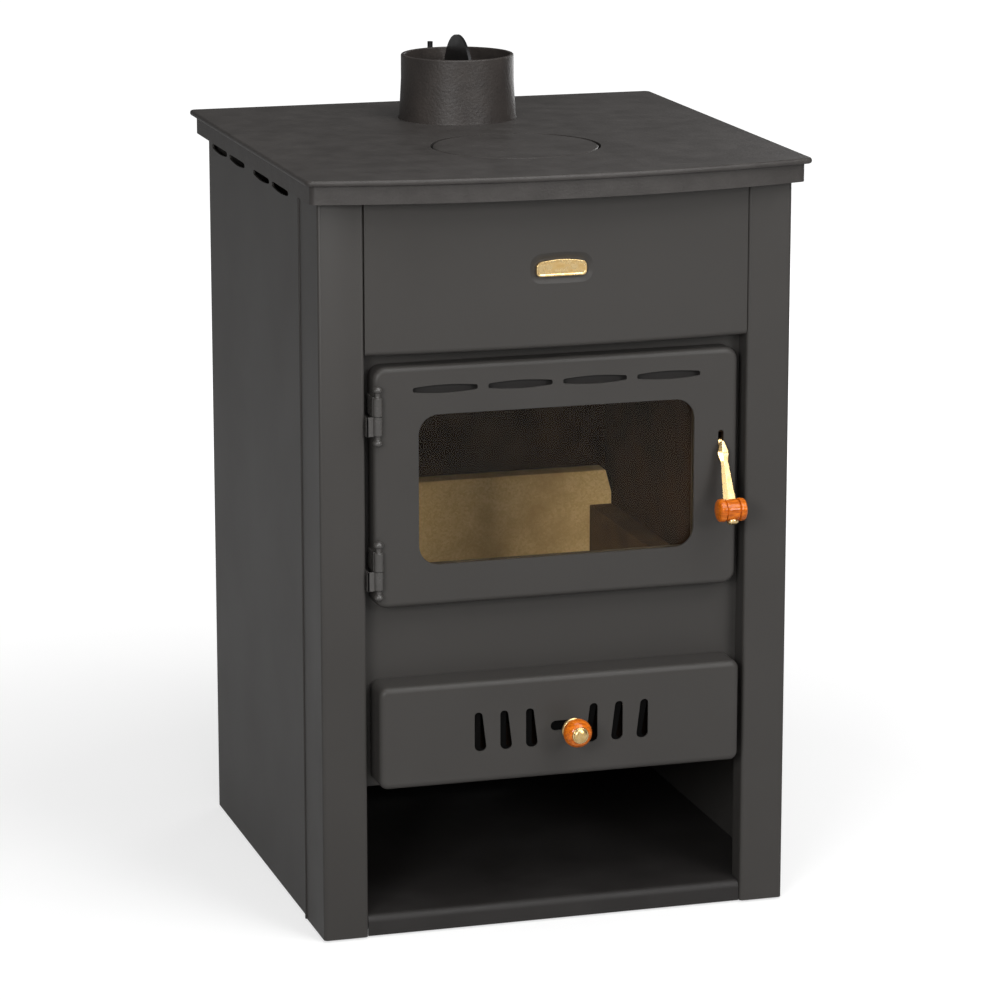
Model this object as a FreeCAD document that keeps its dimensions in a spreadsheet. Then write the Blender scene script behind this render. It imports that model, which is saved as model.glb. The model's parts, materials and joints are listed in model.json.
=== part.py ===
import FreeCAD, Part
import math
import os
import Sketcher

# Wood stove with a glazed fire door, an ash drawer, an open wood store and a cast iron top.
# Millimetres, +X to the right of someone facing the door, +Y to the back, +Z up from the floor.

SIZES = {
    # casing, as heights stacked from the floor up
    "body_width": 500, "body_depth": 490, "floor_gap": 2, "shelf_top": 24, "store_height": 133,
    "drawer_under": 6, "drawer_height": 108, "drawer_door_gap": 79, "door_height": 250,
    "door_panel_gap": 12.5, "panel_height": 157.5, "casing_sheet": 2,
    "post_face": 47, "post_flange": 78, "post_bend": 4, "panel_lap": 15, "back_flange": 22,
    "front_recess": 25, "frame_sheet": 3,
    "side_slot_front": 129, "side_slot_back": 17, "side_slot_gap": 12, "side_slot_pair_gap": 40,
    "side_slot_height": 9, "side_slot_end": 5, "side_slot_drop": 11,
    "rear_slot_length": 70, "rear_slot_pitch": 100, "rear_slot_drop": 60,
    "rear_screw_radius": 2, "rear_screw_head": 4, "rear_screw_head_height": 2.5, "rear_screw_length": 8,
    "rear_screw_margin": 40, "screw_clearance": 0.2,
    # base tray and feet
    "shelf_lip_radius": 8, "shelf_setback": 3, "shelf_side_gap": 0.5,
    "foot_radius": 17, "foot_thickness": 6, "foot_stud": 4, "foot_inset": 45,
    # top plate, lid and flue collar
    "plate_height": 25, "plate_web": 10, "lip_thickness": 6, "lip_round": 2.6, "lip_side": 16, "lip_back": 18,
    "lip_front": 17, "lip_bow": 34, "lip_corner": 7, "band_inset": 6, "rim_width": 14,
    "lid_front_border": 62.5, "lid_rear_border": 56, "lid_gap": 1, "lid_seat": 6, "lid_ledge": 8,
    "lid_chamfer": 1,
    "collar_from_back": 122.5, "collar_height": 69, "collar_radius": 61, "collar_taper": 3,
    "collar_land": 26, "collar_wall": 4, "collar_fit": 0.3, "collar_flange_lap": 10, "collar_flange_thick": 6,
    "collar_chamfer": 1, "bolt_radius": 2.5, "bolt_grip": 7, "bolt_head": 4, "bolt_head_height": 4,
    # flue damper
    "damper_drop": 36, "damper_gap": 1, "damper_thick": 3, "spindle_radius": 3, "running_fit": 0.05,
    "bearing_radius": 7, "bearing_inside": 4, "bearing_outside": 6, "bearing_skin": 2,
    "tip_behind": 108, "tip_rise": 36, "tip_bend": 8, "damper_screw": 1.5, "damper_screw_pitch": 30,
    "damper_screw_head": 3, "damper_screw_head_height": 1.5,
    # upper front panel and badge plate
    "panel_bow": 10, "panel_gap": 0.5, "panel_round": 5,
    "badge_width": 53, "badge_height": 14, "badge_arch": 3, "badge_thick": 2, "badge_rise": 1.75,
    "badge_margin": 4, "badge_recess": 1, "badge_corner": 3, "badge_round": 0.8,
    # fire chamber
    "firebox_side": 55, "firebox_back_gap": 47, "firebox_sheet": 3, "hearth_rise": 12,
    "back_lining_thick": 26, "back_lining_rise": 30, "back_lining_chamfer": 22,
    "side_lining_thick": 27, "side_lining_drop": 9, "lining_gap": 0.5,
    "grate_side": 85, "grate_front": 92, "grate_back": 123, "grate_lap": 12, "grate_thick": 12,
    "grate_bar": 10, "grate_slot": 12, "grate_fit": 2,
    "rail_height": 6, "rail_width": 14, "baffle_thick": 6, "baffle_front": 160, "baffle_gap": 1,
    # fire door
    "door_side_gap": 9, "door_setback": 1, "door_sheet": 2.5, "door_round": 9, "door_corner": 14,
    "door_clear": 2,
    "window_side": 47, "window_below": 43, "window_above": 51, "window_corner": 21,
    "door_slot_margin": 41.2, "door_slot_gap": 11.2, "door_slot_height": 10, "door_slot_end": 6,
    "door_slot_drop": 25,
    "glass_lap": 9, "glass_thick": 4, "gasket_thick": 2, "gasket_width": 7,
    "clip_width": 14, "clip_thick": 1.5, "clip_rise": 62, "clip_spread": 80,
    "clip_lap": 6, "clip_screw": 2, "clip_screw_head": 4, "clip_screw_head_height": 2,
    "liner_side": 26, "liner_foot": 15, "liner_head": 1, "liner_sheet": 2, "liner_back": 17,
    "liner_opening_margin": 5, "rope_width": 10, "rope_gap": 0.3, "seal_seat": 5,
    "backing_gap": 6, "backing_thick": 1.5, "backing_margin": 2,
    # hinges
    "hinge_from_edge": 3, "hinge_ahead": 5, "knuckle_radius": 5, "knuckle_length": 24.5, "knuckle_gap": 0.5,
    "finial_radius": 3.4, "finial_neck": 2.2, "finial_length": 5.5, "hinge_pin_radius": 3, "leaf_thick": 2.5,
    "leaf_depth": 18, "upper_hinge_drop": 48.5, "lower_hinge_rise": 41.5, "hinge_pin_short": 4,
    # door handle
    "handle_from_edge": 18, "handle_slot_width": 6, "handle_slot_drop": 88, "handle_slot_height": 27,
    "pivot_behind": 7, "lever_width": 5, "lever_hub": 6.5, "pivot_radius": 2.5, "cheek_thick": 2.5,
    "cheek_gap": 0.5, "cheek_depth": 14, "cheek_height": 26, "bracket_bridge": 3,
    "elbow_ahead": 7, "elbow_drop": 3, "tongue_height": 8, "arm_above": 7, "arm_length": 52, "arm_run": 21.56,
    "arm_top_width": 5, "arm_top_depth": 6, "arm_end_width": 13, "arm_end_depth": 9, "arm_facet": 2,
    "grip_radius": 12.5, "grip_length": 36, "grip_end_radius": 8, "grip_groove": 1, "grip_groove_width": 2,
    "grip_groove_offset": 9, "grip_gap": 0.3, "stud_radius": 3, "cap_radius": 6, "cap_height": 5,
    "hook_reach": 14, "hook_height": 6, "hook_nose": 5, "keeper_bar": 2.5, "keeper_clear": 1,
    "keeper_plate": 2, "keeper_width": 13, "keeper_height": 30,
    # ash drawer
    "drawer_side_gap": 9.5, "drawer_proud": 16, "drawer_sheet": 2,
    "drawer_round": 9, "drawer_corner": 10, "drawer_clear": 2, "drawer_cover": 7,
    "air_slot_below": 35, "air_slot_above": 34, "air_slot_wide": 12.5, "air_slot_narrow": 7,
    "air_slot_first": 32, "air_slot_pitch": 27.5,
    "pan_side": 21.5, "pan_front": 3, "pan_back": 43, "pan_lift": 0.3, "pan_below": 21, "pan_sheet": 1.5,
    "pan_front_drop": 40, "runner_height": 8, "runner_width": 22, "runner_inset": 12, "runner_sheet": 2,
    "bracket_sheet": 2, "bracket_foot": 12, "bracket_lap": 30, "bracket_rise": 22, "bracket_drop": 36,
    "rivet_head": 3.5, "rivet_head_height": 1.2,
    # air control
    "slide_gap": 0.3, "slide_thick": 1.5, "slide_width": 216, "slide_below": 8, "slide_above": 9,
    "slide_travel": 13, "guide_lap": 4, "guide_height": 10, "guide_sheet": 1.5,
    "knob_offset": 6.5, "knob_slot_height": 9, "knob_slot_clear": 4, "stem_radius": 3.5,
    "ferrule_radius": 7, "ferrule_length": 5, "ball_radius": 15, "ball_centre": 46,
    "ball_end": 6, "knob_cap_radius": 7, "knob_cap_height": 3.5,
}

DOC = FreeCAD.newDocument("WoodStove")
SHEET = DOC.addObject("Spreadsheet::Sheet", "Sizes")
NODES = []


class Size:
    """A length together with the spreadsheet expression that gives it."""

    def __init__(self, value, text):
        self.value = float(value)
        self.text = text

    @staticmethod
    def of(item):
        return item if isinstance(item, Size) else Size(item, repr(float(item)))

    def joined(self, sign, other, value):
        return Size(value, f"({self.text} {sign} {Size.of(other).text})")

    def __add__(self, other):
        return self.joined("+", other, self.value + Size.of(other).value)

    def __sub__(self, other):
        return self.joined("-", other, self.value - Size.of(other).value)

    def __mul__(self, other):
        return self.joined("*", other, self.value * Size.of(other).value)

    def __truediv__(self, other):
        return self.joined("/", other, self.value / Size.of(other).value)

    def __radd__(self, other):
        return Size.of(other) + self

    def __rsub__(self, other):
        return Size.of(other) - self

    def __rmul__(self, other):
        return Size.of(other) * self

    def __neg__(self):
        return Size(-self.value, f"(0 - {self.text})")


def root(size):
    return Size(math.sqrt(size.value), f"sqrt({size.text})")


class Named:
    """The spreadsheet's sizes by name."""

    def __getattr__(self, name):
        return Size(SIZES[name], f"Sizes.{name}")


def fill_sheet():
    for row, (name, value) in enumerate(SIZES.items(), start=1):
        SHEET.set(f"A{row}", name)
        SHEET.set(f"B{row}", str(value))
        SHEET.setAlias(f"B{row}", name)
    DOC.recompute()


fill_sheet()
S = Named()
ZERO = Size(0, "0")

# Planes and levels that several pieces share
HALF = S.body_width / 2
KNOB_REACH = S.ball_centre + S.ball_radius + S.knob_cap_height
FRONT = (KNOB_REACH - S.body_depth - S.lip_back) / 2
BACK = FRONT + S.body_depth
SHEET_IN = HALF - S.casing_sheet
POST_IN = HALF - S.post_face
FRAME_FRONT = FRONT + S.front_recess
FRAME_BACK = FRAME_FRONT + S.frame_sheet
ASH_FLOOR = S.shelf_top + S.store_height
ASH_FLOOR_TOP = ASH_FLOOR + S.firebox_sheet
DRAWER_BOTTOM = ASH_FLOOR + S.drawer_under
DRAWER_TOP = DRAWER_BOTTOM + S.drawer_height
DOOR_BOTTOM = DRAWER_TOP + S.drawer_door_gap
DOOR_TOP = DOOR_BOTTOM + S.door_height
PANEL_BOTTOM = DOOR_TOP + S.door_panel_gap
CASING_TOP = PANEL_BOTTOM + S.panel_height
PLATE_TOP = CASING_TOP + S.plate_height
WEB_BOTTOM = PLATE_TOP - S.plate_web
BOX_HALF = HALF - S.firebox_side
BOX_BACK = BACK - S.firebox_back_gap
HEARTH_TOP = DRAWER_TOP + S.hearth_rise
DOOR_FACE = FRONT + S.door_setback
DOOR_BACK = FRAME_FRONT - S.door_clear
DOOR_HALF = POST_IN - S.door_side_gap
DOOR_INNER = DOOR_FACE + S.door_sheet
DOOR_SLOT_LENGTH = (2 * (DOOR_HALF - S.door_slot_margin) - 3 * S.door_slot_gap) / 4
DOOR_SLOT_PITCH = DOOR_SLOT_LENGTH + S.door_slot_gap
DOOR_SLOT_LEVEL = DOOR_TOP - S.door_slot_drop
GLASS_FRONT = DOOR_INNER + S.gasket_thick
GLASS_BACK = GLASS_FRONT + S.glass_thick
WINDOW_HALF = DOOR_HALF - S.window_side
WINDOW_BOTTOM = DOOR_BOTTOM + S.window_below
WINDOW_TOP = DOOR_TOP - S.window_above
LINER_BACK = FRONT + S.liner_back
LINER_HALF = DOOR_HALF - S.liner_side
LINER_BOTTOM = DOOR_BOTTOM + S.door_round + S.liner_foot
LINER_TOP = DOOR_TOP - S.door_round - S.liner_head
HINGE_X = S.hinge_from_edge - DOOR_HALF
HINGE_Y = DOOR_FACE - S.hinge_ahead
COLLAR_Y = BACK - S.collar_from_back
COLLAR_TOP = PLATE_TOP + S.collar_height
COLLAR_BORE = S.collar_radius - S.collar_wall
COLLAR_BASE = S.collar_radius + S.collar_taper
COLLAR_FLANGE = COLLAR_BASE + S.collar_flange_lap
DAMPER_LEVEL = COLLAR_TOP - S.damper_drop
HOB_DEPTH = COLLAR_Y - COLLAR_FLANGE - FRONT
LID_RADIUS = (HOB_DEPTH - S.lid_front_border - S.lid_rear_border) / 2
LID_Y = FRONT + S.lid_front_border + LID_RADIUS
HANDLE_X = DOOR_HALF - S.handle_from_edge
HANDLE_SLOT_TOP = DOOR_TOP - S.handle_slot_drop
HANDLE_SLOT_BOTTOM = HANDLE_SLOT_TOP - S.handle_slot_height
PIVOT_Y = DOOR_FACE + S.pivot_behind
PIVOT_Z = (HANDLE_SLOT_BOTTOM + HANDLE_SLOT_TOP) / 2
LEAN_SINE = S.arm_run / S.arm_length
LEAN_COSINE = root(1 - LEAN_SINE * LEAN_SINE)
DRAWER_FACE = FRONT - S.drawer_proud
DRAWER_INNER = DRAWER_FACE + S.drawer_sheet
DRAWER_BACK = FRAME_FRONT - S.drawer_clear
DRAWER_HALF = POST_IN - S.drawer_side_gap
AIR_SLOT_BOTTOM = DRAWER_BOTTOM + S.air_slot_below
AIR_SLOT_TOP = DRAWER_TOP - S.air_slot_above
KNOB_LEVEL = (AIR_SLOT_BOTTOM + AIR_SLOT_TOP) / 2
PAN_HALF = DRAWER_HALF - S.pan_side
PAN_BOTTOM = ASH_FLOOR_TOP + S.runner_height + S.pan_lift
PAN_TOP = DRAWER_TOP - S.pan_below
SLIDE_FRONT = DRAWER_INNER + S.slide_gap
SLIDE_BACK = SLIDE_FRONT + S.slide_thick
SLIDE_BOTTOM = AIR_SLOT_BOTTOM - S.slide_below
SLIDE_TOP = AIR_SLOT_TOP + S.slide_above


# Building blocks

def bind(item, path, size):
    item.setExpression(path, Size.of(size).text)


def place(item, x=ZERO, y=ZERO, z=ZERO):
    bind(item, "Placement.Base.x", x)
    bind(item, "Placement.Base.y", y)
    bind(item, "Placement.Base.z", z)
    return item


def turn_to(item, axis):
    """Turns a solid made along Z to lie along another axis."""
    turns = {"X": ((0, 1, 0), 90), "Y": ((1, 0, 0), -90), "Z": ((0, 0, 1), 0)}
    direction, angle = turns[axis]
    item.Placement = FreeCAD.Placement(FreeCAD.Vector(), FreeCAD.Rotation(FreeCAD.Vector(*direction), angle))


def box(name, x, y, z):
    item = DOC.addObject("Part::Box", name)
    for prop, (low, high) in zip(("Length", "Width", "Height"), (x, y, z)):
        bind(item, prop, high - low)
    return place(item, x[0], y[0], z[0])


def rod(name, axis, centre, radius, ends):
    """A cylinder along an axis; centre holds the two other coordinates in X, Y, Z order."""
    item = DOC.addObject("Part::Cylinder", name)
    turn_to(item, axis)
    bind(item, "Radius", radius)
    bind(item, "Height", ends[1] - ends[0])
    spot = list(centre)
    spot.insert("XYZ".index(axis), ends[0])
    return place(item, *spot)


def fuse(name, pieces):
    item = DOC.addObject("Part::MultiFuse", name)
    item.Shapes = pieces
    item.Refine = True
    return item


def group(name, pieces):
    """Separate solids under one name."""
    item = DOC.addObject("Part::Compound", name)
    item.Links = pieces
    return item


def cut(name, base, tools):
    item = DOC.addObject("Part::Cut", name)
    item.Base = base
    item.Tool = tools[0] if len(tools) == 1 else group(name + "_cutters", tools)
    return item


def node(item, name):
    item.Label = name
    NODES.append(item)
    return item


def arc_geometry(start, end, radius, outward):
    """An arc between two points, bulging to the right of the way from start to end if outward."""
    middle = (start + end) * 0.5
    along = end - start
    half = along.Length / 2
    right = FreeCAD.Vector(along.y, -along.x, 0).normalize()
    rise = math.sqrt(max(radius * radius - half * half, 0))
    centre = middle - right * rise if outward else middle + right * rise
    first, last = (start, end) if outward else (end, start)
    angles = [math.atan2(p.y - centre.y, p.x - centre.x) for p in (first, last)]
    if angles[1] < angles[0]:
        angles[1] += 2 * math.pi
    circle = Part.Circle(centre, FreeCAD.Vector(0, 0, 1), radius)
    return Part.ArcOfCircle(circle, angles[0], angles[1])


def draw(body, plane, points, level):
    """A closed sketch at a level along its plane's normal.

    Each point is (u, v), or (u, v, radius, outward) where an arc leads on to the next point.
    """
    sketch = body.newObject("Sketcher::SketchObject", body.Name + "_sketch")
    support = [part for part in body.Origin.OriginFeatures if part.Role == plane][0]
    sketch.AttachmentSupport = [(support, "")]
    sketch.MapMode = "FlatFace"
    bind(sketch, "AttachmentOffset.Base.z", level)
    spots = [FreeCAD.Vector(p[0].value, p[1].value, 0) for p in points]
    count = len(points)
    starts = []
    for i, point in enumerate(points):
        start, end = spots[i], spots[(i + 1) % count]
        if len(point) == 2:
            sketch.addGeometry(Part.LineSegment(start, end), False)
            starts.append(1)
        else:
            sketch.addGeometry(arc_geometry(start, end, point[2].value, point[3]), False)
            starts.append(1 if point[3] else 2)
    for i, point in enumerate(points):
        after = (i + 1) % count
        sketch.addConstraint(Sketcher.Constraint("Coincident", i, 3 - starts[i], after, starts[after]))
    for i, point in enumerate(points):
        for kind, size in (("DistanceX", point[0]), ("DistanceY", point[1])):
            pin = sketch.addConstraint(Sketcher.Constraint(kind, -1, 1, i, starts[i], size.value))
            bind(sketch, f"Constraints[{pin}]", size)
        if len(point) > 2:
            pin = sketch.addConstraint(Sketcher.Constraint("Radius", i, point[2].value))
            bind(sketch, f"Constraints[{pin}]", point[2])
    return sketch


def prism(name, axis, points, ends):
    """An outline padded along an axis, from ends[0] to ends[1]."""
    body = DOC.addObject("PartDesign::Body", name)
    plane = {"X": "YZ_Plane", "Y": "XZ_Plane", "Z": "XY_Plane"}[axis]
    level = -ends[1] if axis == "Y" else ends[0]
    pad = body.newObject("PartDesign::Pad", name + "_pad")
    pad.Profile = draw(body, plane, points, level)
    bind(pad, "Length", ends[1] - ends[0])
    return body


def turned(name, axis, centre, points):
    """A profile of (radius, place along the axis) revolved about an axis."""
    body = DOC.addObject("PartDesign::Body", name)
    turn_to(body, axis)
    spin = body.newObject("PartDesign::Revolution", name + "_turn")
    sketch = draw(body, "XZ_Plane", points, ZERO)
    spin.Profile = sketch
    spin.ReferenceAxis = (sketch, ["V_Axis"])
    spin.Angle = 360
    spot = list(centre)
    spot.insert("XYZ".index(axis), ZERO)
    return place(body, *spot)


def edge_names(shape, wanted):
    return [f"Edge{i}" for i, edge in enumerate(shape.Edges, start=1) if wanted(edge)]


def round_edges(body, radius, wanted, kind="Fillet"):
    """Rounds or chamfers the edges of a body that a test picks."""
    DOC.recompute()
    tip = body.Tip
    feature = body.newObject(f"PartDesign::{kind}", f"{body.Name}_{kind.lower()}")
    feature.Base = (tip, edge_names(tip.Shape, wanted))
    bind(feature, "Radius" if kind == "Fillet" else "Size", radius)
    return body


def lies_at(edge, axis, level):
    spots = [edge.valueAt(edge.FirstParameter), edge.valueAt(edge.LastParameter)]
    return all(abs(getattr(spot, axis) - level.value) < 1e-4 for spot in spots)


def is_upright(edge):
    start, end = edge.valueAt(edge.FirstParameter), edge.valueAt(edge.LastParameter)
    return abs(start.x - end.x) < 1e-6 and abs(start.y - end.y) < 1e-6


def rounded_box(u, v, radius):
    """A rectangle with round corners, counter-clockwise."""
    return [
        (u[0] + radius, v[0]), (u[1] - radius, v[0], radius, True),
        (u[1], v[0] + radius), (u[1], v[1] - radius, radius, True),
        (u[1] - radius, v[1]), (u[0] + radius, v[1], radius, True),
        (u[0], v[1] - radius), (u[0], v[0] + radius, radius, True),
    ]


def lens(u, v, length, height, end):
    """A long slot that swells in the middle, with chamfered blunt ends."""
    half = length / 2
    shoulder = half - end / 2
    rise = (height - end) / 2
    radius = (shoulder * shoulder + rise * rise) / (2 * rise)
    return [
        (u - shoulder, v - end / 2, radius, True), (u + shoulder, v - end / 2),
        (u + half, v - end / 4), (u + half, v + end / 4),
        (u + shoulder, v + end / 2, radius, True), (u - shoulder, v + end / 2),
        (u - half, v + end / 4), (u - half, v - end / 4),
    ]


def bow_radius(chord, rise):
    return (chord * chord / 4 + rise * rise) / (2 * rise)


def pressed_shell(name, x, y, z, corner, edge, sheet):
    """A pressed sheet panel: round corners and edges in front, open at the back."""
    outer = prism(name + "_outer", "Y", rounded_box(x, z, corner), y)
    round_edges(outer, edge, lambda e: lies_at(e, "y", y[0]))
    hollow_x, hollow_z = (x[0] + sheet, x[1] - sheet), (z[0] + sheet, z[1] - sheet)
    hollow_y = (y[0] + sheet, y[1] + sheet)
    inner = prism(name + "_inner", "Y", rounded_box(hollow_x, hollow_z, corner - sheet), hollow_y)
    round_edges(inner, edge - sheet, lambda e: lies_at(e, "y", hollow_y[0]))
    return outer, inner


# Casing

def side_panel(side, mirror):
    outer, inner = SHEET_IN, SHEET_IN - S.casing_sheet
    front = FRONT + S.post_flange - S.panel_lap
    back = BACK - S.casing_sheet
    tail = SHEET_IN - S.back_flange
    points = [
        (inner, front), (outer, front), (outer, back), (tail, back),
        (tail, back - S.casing_sheet), (inner, back - S.casing_sheet),
    ]
    if mirror:
        points = [(-u, v) for u, v in reversed(points)]
    plate = prism(f"{side}_panel_blank", "Z", points, (S.floor_gap, CASING_TOP))
    slots = []
    level = CASING_TOP - S.side_slot_drop
    ends = (-HALF, -POST_IN) if mirror else (POST_IN, HALF)
    gaps = 2 * S.side_slot_gap + S.side_slot_pair_gap
    length = (S.body_depth - S.side_slot_front - S.side_slot_back - gaps) / 4
    start = FRONT + S.side_slot_front
    for i in range(4):
        shape = lens(start + length / 2, level, length, S.side_slot_height, S.side_slot_end)
        slots.append(prism(f"{side}_vent_{i}", "X", shape, ends))
        start = start + length + (S.side_slot_pair_gap if i == 1 else S.side_slot_gap)
    screws = [
        rod(f"{side}_flange_hole_{i}", "Y", (screw_x(mirror), z), S.rear_screw_radius + S.screw_clearance,
            (back - 2 * S.casing_sheet, BACK))
        for i, z in enumerate(rear_screw_levels())
    ]
    node(cut(f"{side}_side", plate, slots + screws), f"{side}_side_panel")


def screw_x(mirror):
    across = SHEET_IN - S.back_flange / 2
    return -across if mirror else across


def rear_screw_levels():
    low = S.floor_gap + S.rear_screw_margin
    high = CASING_TOP - S.rear_screw_margin
    return [low + (high - low) * share / 3 for share in range(4)]


def front_post(side, mirror):
    t = S.casing_sheet
    points = [
        (HALF, FRONT), (HALF, FRONT + S.post_flange), (HALF - t, FRONT + S.post_flange),
        (HALF - t, FRONT + t), (POST_IN + t, FRONT + t), (POST_IN + t, FRAME_FRONT),
        (POST_IN, FRAME_FRONT), (POST_IN, FRONT),
    ]
    if mirror:
        points = [(-u, v) for u, v in reversed(points)]
    post = prism(f"{side}_post", "Z", points, (S.floor_gap, CASING_TOP))
    round_edges(post, S.post_bend, lambda e: is_upright(e) and lies_at(e, "y", FRONT))
    round_edges(post, S.post_bend - t, lambda e: is_upright(e) and lies_at(e, "y", FRONT + t))
    node(post, f"{side}_front_post")


def back_panel():
    y = (BACK - S.casing_sheet, BACK)
    through = (y[0] - S.casing_sheet, BACK + S.casing_sheet)
    plate = box("back_blank", (-SHEET_IN, SHEET_IN), y, (S.floor_gap, CASING_TOP))
    cutters = []
    for row, level in enumerate((CASING_TOP - S.rear_slot_drop, S.shelf_top + S.rear_slot_drop)):
        for column in range(-1, 2):
            across = column * S.rear_slot_pitch
            shape = lens(across, level, S.rear_slot_length, S.side_slot_height, S.side_slot_end)
            cutters.append(prism(f"rear_vent_{row}{column + 1}", "Y", shape, through))
    hole = S.rear_screw_radius + S.screw_clearance
    for mirror in (True, False):
        for i, z in enumerate(rear_screw_levels()):
            cutters.append(rod(f"rear_hole_{int(mirror)}{i}", "Y", (screw_x(mirror), z), hole, through))
    node(cut("back_sheet", plate, cutters), "back_panel")


def back_panel_screws():
    screws = []
    for mirror in (True, False):
        for i, z in enumerate(rear_screw_levels()):
            profile = [
                (ZERO, BACK - S.rear_screw_length), (S.rear_screw_radius, BACK - S.rear_screw_length),
                (S.rear_screw_radius, BACK), (S.rear_screw_head, BACK),
                (S.rear_screw_head, BACK + S.rear_screw_head_height / 2),
                (S.rear_screw_head / 2, BACK + S.rear_screw_head_height),
                (ZERO, BACK + S.rear_screw_head_height),
            ]
            screws.append(turned(f"rear_screw_{int(mirror)}{i}", "Y", (screw_x(mirror), z), profile))
    node(group("rear_screws", screws), "back_panel_screws")


def base_shelf():
    t = S.casing_sheet
    lip_front = FRONT + S.shelf_setback
    r = S.shelf_lip_radius
    top = S.shelf_top
    low = S.floor_gap
    narrow = POST_IN - S.shelf_side_gap
    wide = SHEET_IN - t
    middle = FRAME_FRONT + t
    lip = prism("shelf_lip", "X", [
        (lip_front, low), (lip_front + t, low),
        (lip_front + t, top - r, r - t, False), (lip_front + r, top - t),
        (middle, top - t), (middle, top),
        (lip_front + r, top, r, True), (lip_front, top - r),
    ], (-narrow, narrow))
    rear = BACK - 2 * t
    sheet = box("shelf_sheet", (-wide, wide), (middle, rear), (top - t, top))
    start = FRONT + S.post_flange
    flanges = [
        box("shelf_left", (-wide, t - wide), (start, rear), (low, top)),
        box("shelf_right", (wide - t, wide), (start, rear), (low, top)),
        box("shelf_rear", (-wide, wide), (rear - t, rear), (low, top)),
    ]
    node(fuse("shelf", [lip, sheet] + flanges), "base_shelf")


def levelling_feet():
    top = S.shelf_top - S.casing_sheet
    feet = []
    for across in (-1, 1):
        for along in (0, 1):
            x = across * (HALF - S.foot_inset)
            y = FRONT + S.foot_inset + along * (S.body_depth - 2 * S.foot_inset)
            profile = [
                (ZERO, ZERO), (S.foot_radius, ZERO), (S.foot_radius, S.foot_thickness / 2),
                (S.foot_radius - S.foot_thickness / 2, S.foot_thickness), (S.foot_stud, S.foot_thickness),
                (S.foot_stud, top), (ZERO, top),
            ]
            feet.append(turned(f"foot_{across + 1}{along}", "Z", (x, y), profile))
    node(group("feet", feet), "levelling_feet")


def front_frame():
    y = (FRAME_FRONT, FRAME_BACK)
    plate = box("frame_blank", (-SHEET_IN, SHEET_IN), y, (ASH_FLOOR, CASING_TOP))
    through = (FRONT, FRAME_BACK + S.front_recess)
    reach = LINER_HALF - S.rope_width - S.seal_seat
    fire = (LINER_BOTTOM + S.rope_width + S.seal_seat, LINER_TOP - S.rope_width - S.seal_seat)
    door_hole = box("frame_door_hole", (-reach, reach), through, fire)
    side = DRAWER_HALF - 2 * S.drawer_cover
    levels = (PAN_BOTTOM - S.drawer_clear, DRAWER_TOP - S.drawer_cover)
    drawer_hole = box("frame_drawer_hole", (-side, side), through, levels)
    node(cut("frame_plate", plate, [door_hole, drawer_hole]), "front_frame")


def upper_front_panel():
    t = S.casing_sheet
    half = POST_IN - S.panel_gap
    radius = bow_radius(2 * half, S.panel_bow)
    outer = prism("panel_outer", "Z", [
        (-half, FRONT, radius, True), (half, FRONT), (half, FRAME_FRONT), (-half, FRAME_FRONT),
    ], (PANEL_BOTTOM, CASING_TOP))
    round_edges(outer, S.panel_round, lambda e: lies_at(e, "z", PANEL_BOTTOM) and bows(e))
    inner_half = half - t
    inner = prism("panel_inner", "Z", [
        (-inner_half, FRONT + t, radius - t, True), (inner_half, FRONT + t),
        (inner_half, FRAME_FRONT + t), (-inner_half, FRAME_FRONT + t),
    ], (PANEL_BOTTOM + t, CASING_TOP + t))
    round_edges(inner, S.panel_round - t, lambda e: lies_at(e, "z", PANEL_BOTTOM + t) and bows(e))
    floor = panel_face() + S.badge_recess
    recess = prism("panel_recess", "Y", badge_outline(S.badge_margin), (floor - 2 * S.panel_bow, floor))
    node(cut("panel_shell", outer, [inner, recess]), "upper_front_panel")


def bows(edge):
    return edge.Curve.TypeId == "Part::GeomCircle"


def panel_face():
    return FRONT - S.panel_bow


def badge_level():
    return PANEL_BOTTOM + S.panel_height / 2 + S.badge_rise


def badge_outline(margin):
    half = S.badge_width / 2 + margin
    low = badge_level() - S.badge_height / 2 - margin
    high = badge_level() + S.badge_height / 2 + margin
    corner = S.badge_corner
    radius = bow_radius(2 * half, S.badge_arch)
    return [
        (corner - half, low), (half - corner, low, corner, True), (half, low + corner),
        (half, high, radius, True), (-half, high), (-half, low + corner, corner, True),
    ]


def badge_plate():
    back = panel_face() + S.badge_recess
    front = back - S.badge_thick
    plate = prism("badge", "Y", badge_outline(ZERO), (front, back))
    round_edges(plate, S.badge_round, lambda e: lies_at(e, "y", front))
    node(plate, "badge_plate")


# Top plate, lid, flue collar and damper

def plate_outline(inset):
    side = HALF + S.lip_side - inset
    front = FRONT - S.lip_front + inset
    back = BACK + S.lip_back - inset
    c = S.lip_corner
    radius = bow_radius(2 * side, S.lip_bow)
    return [
        (-side, front, radius, True), (side, front), (side, back - c, c, True), (side - c, back),
        (c - side, back, c, True), (-side, back - c),
    ]


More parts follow.
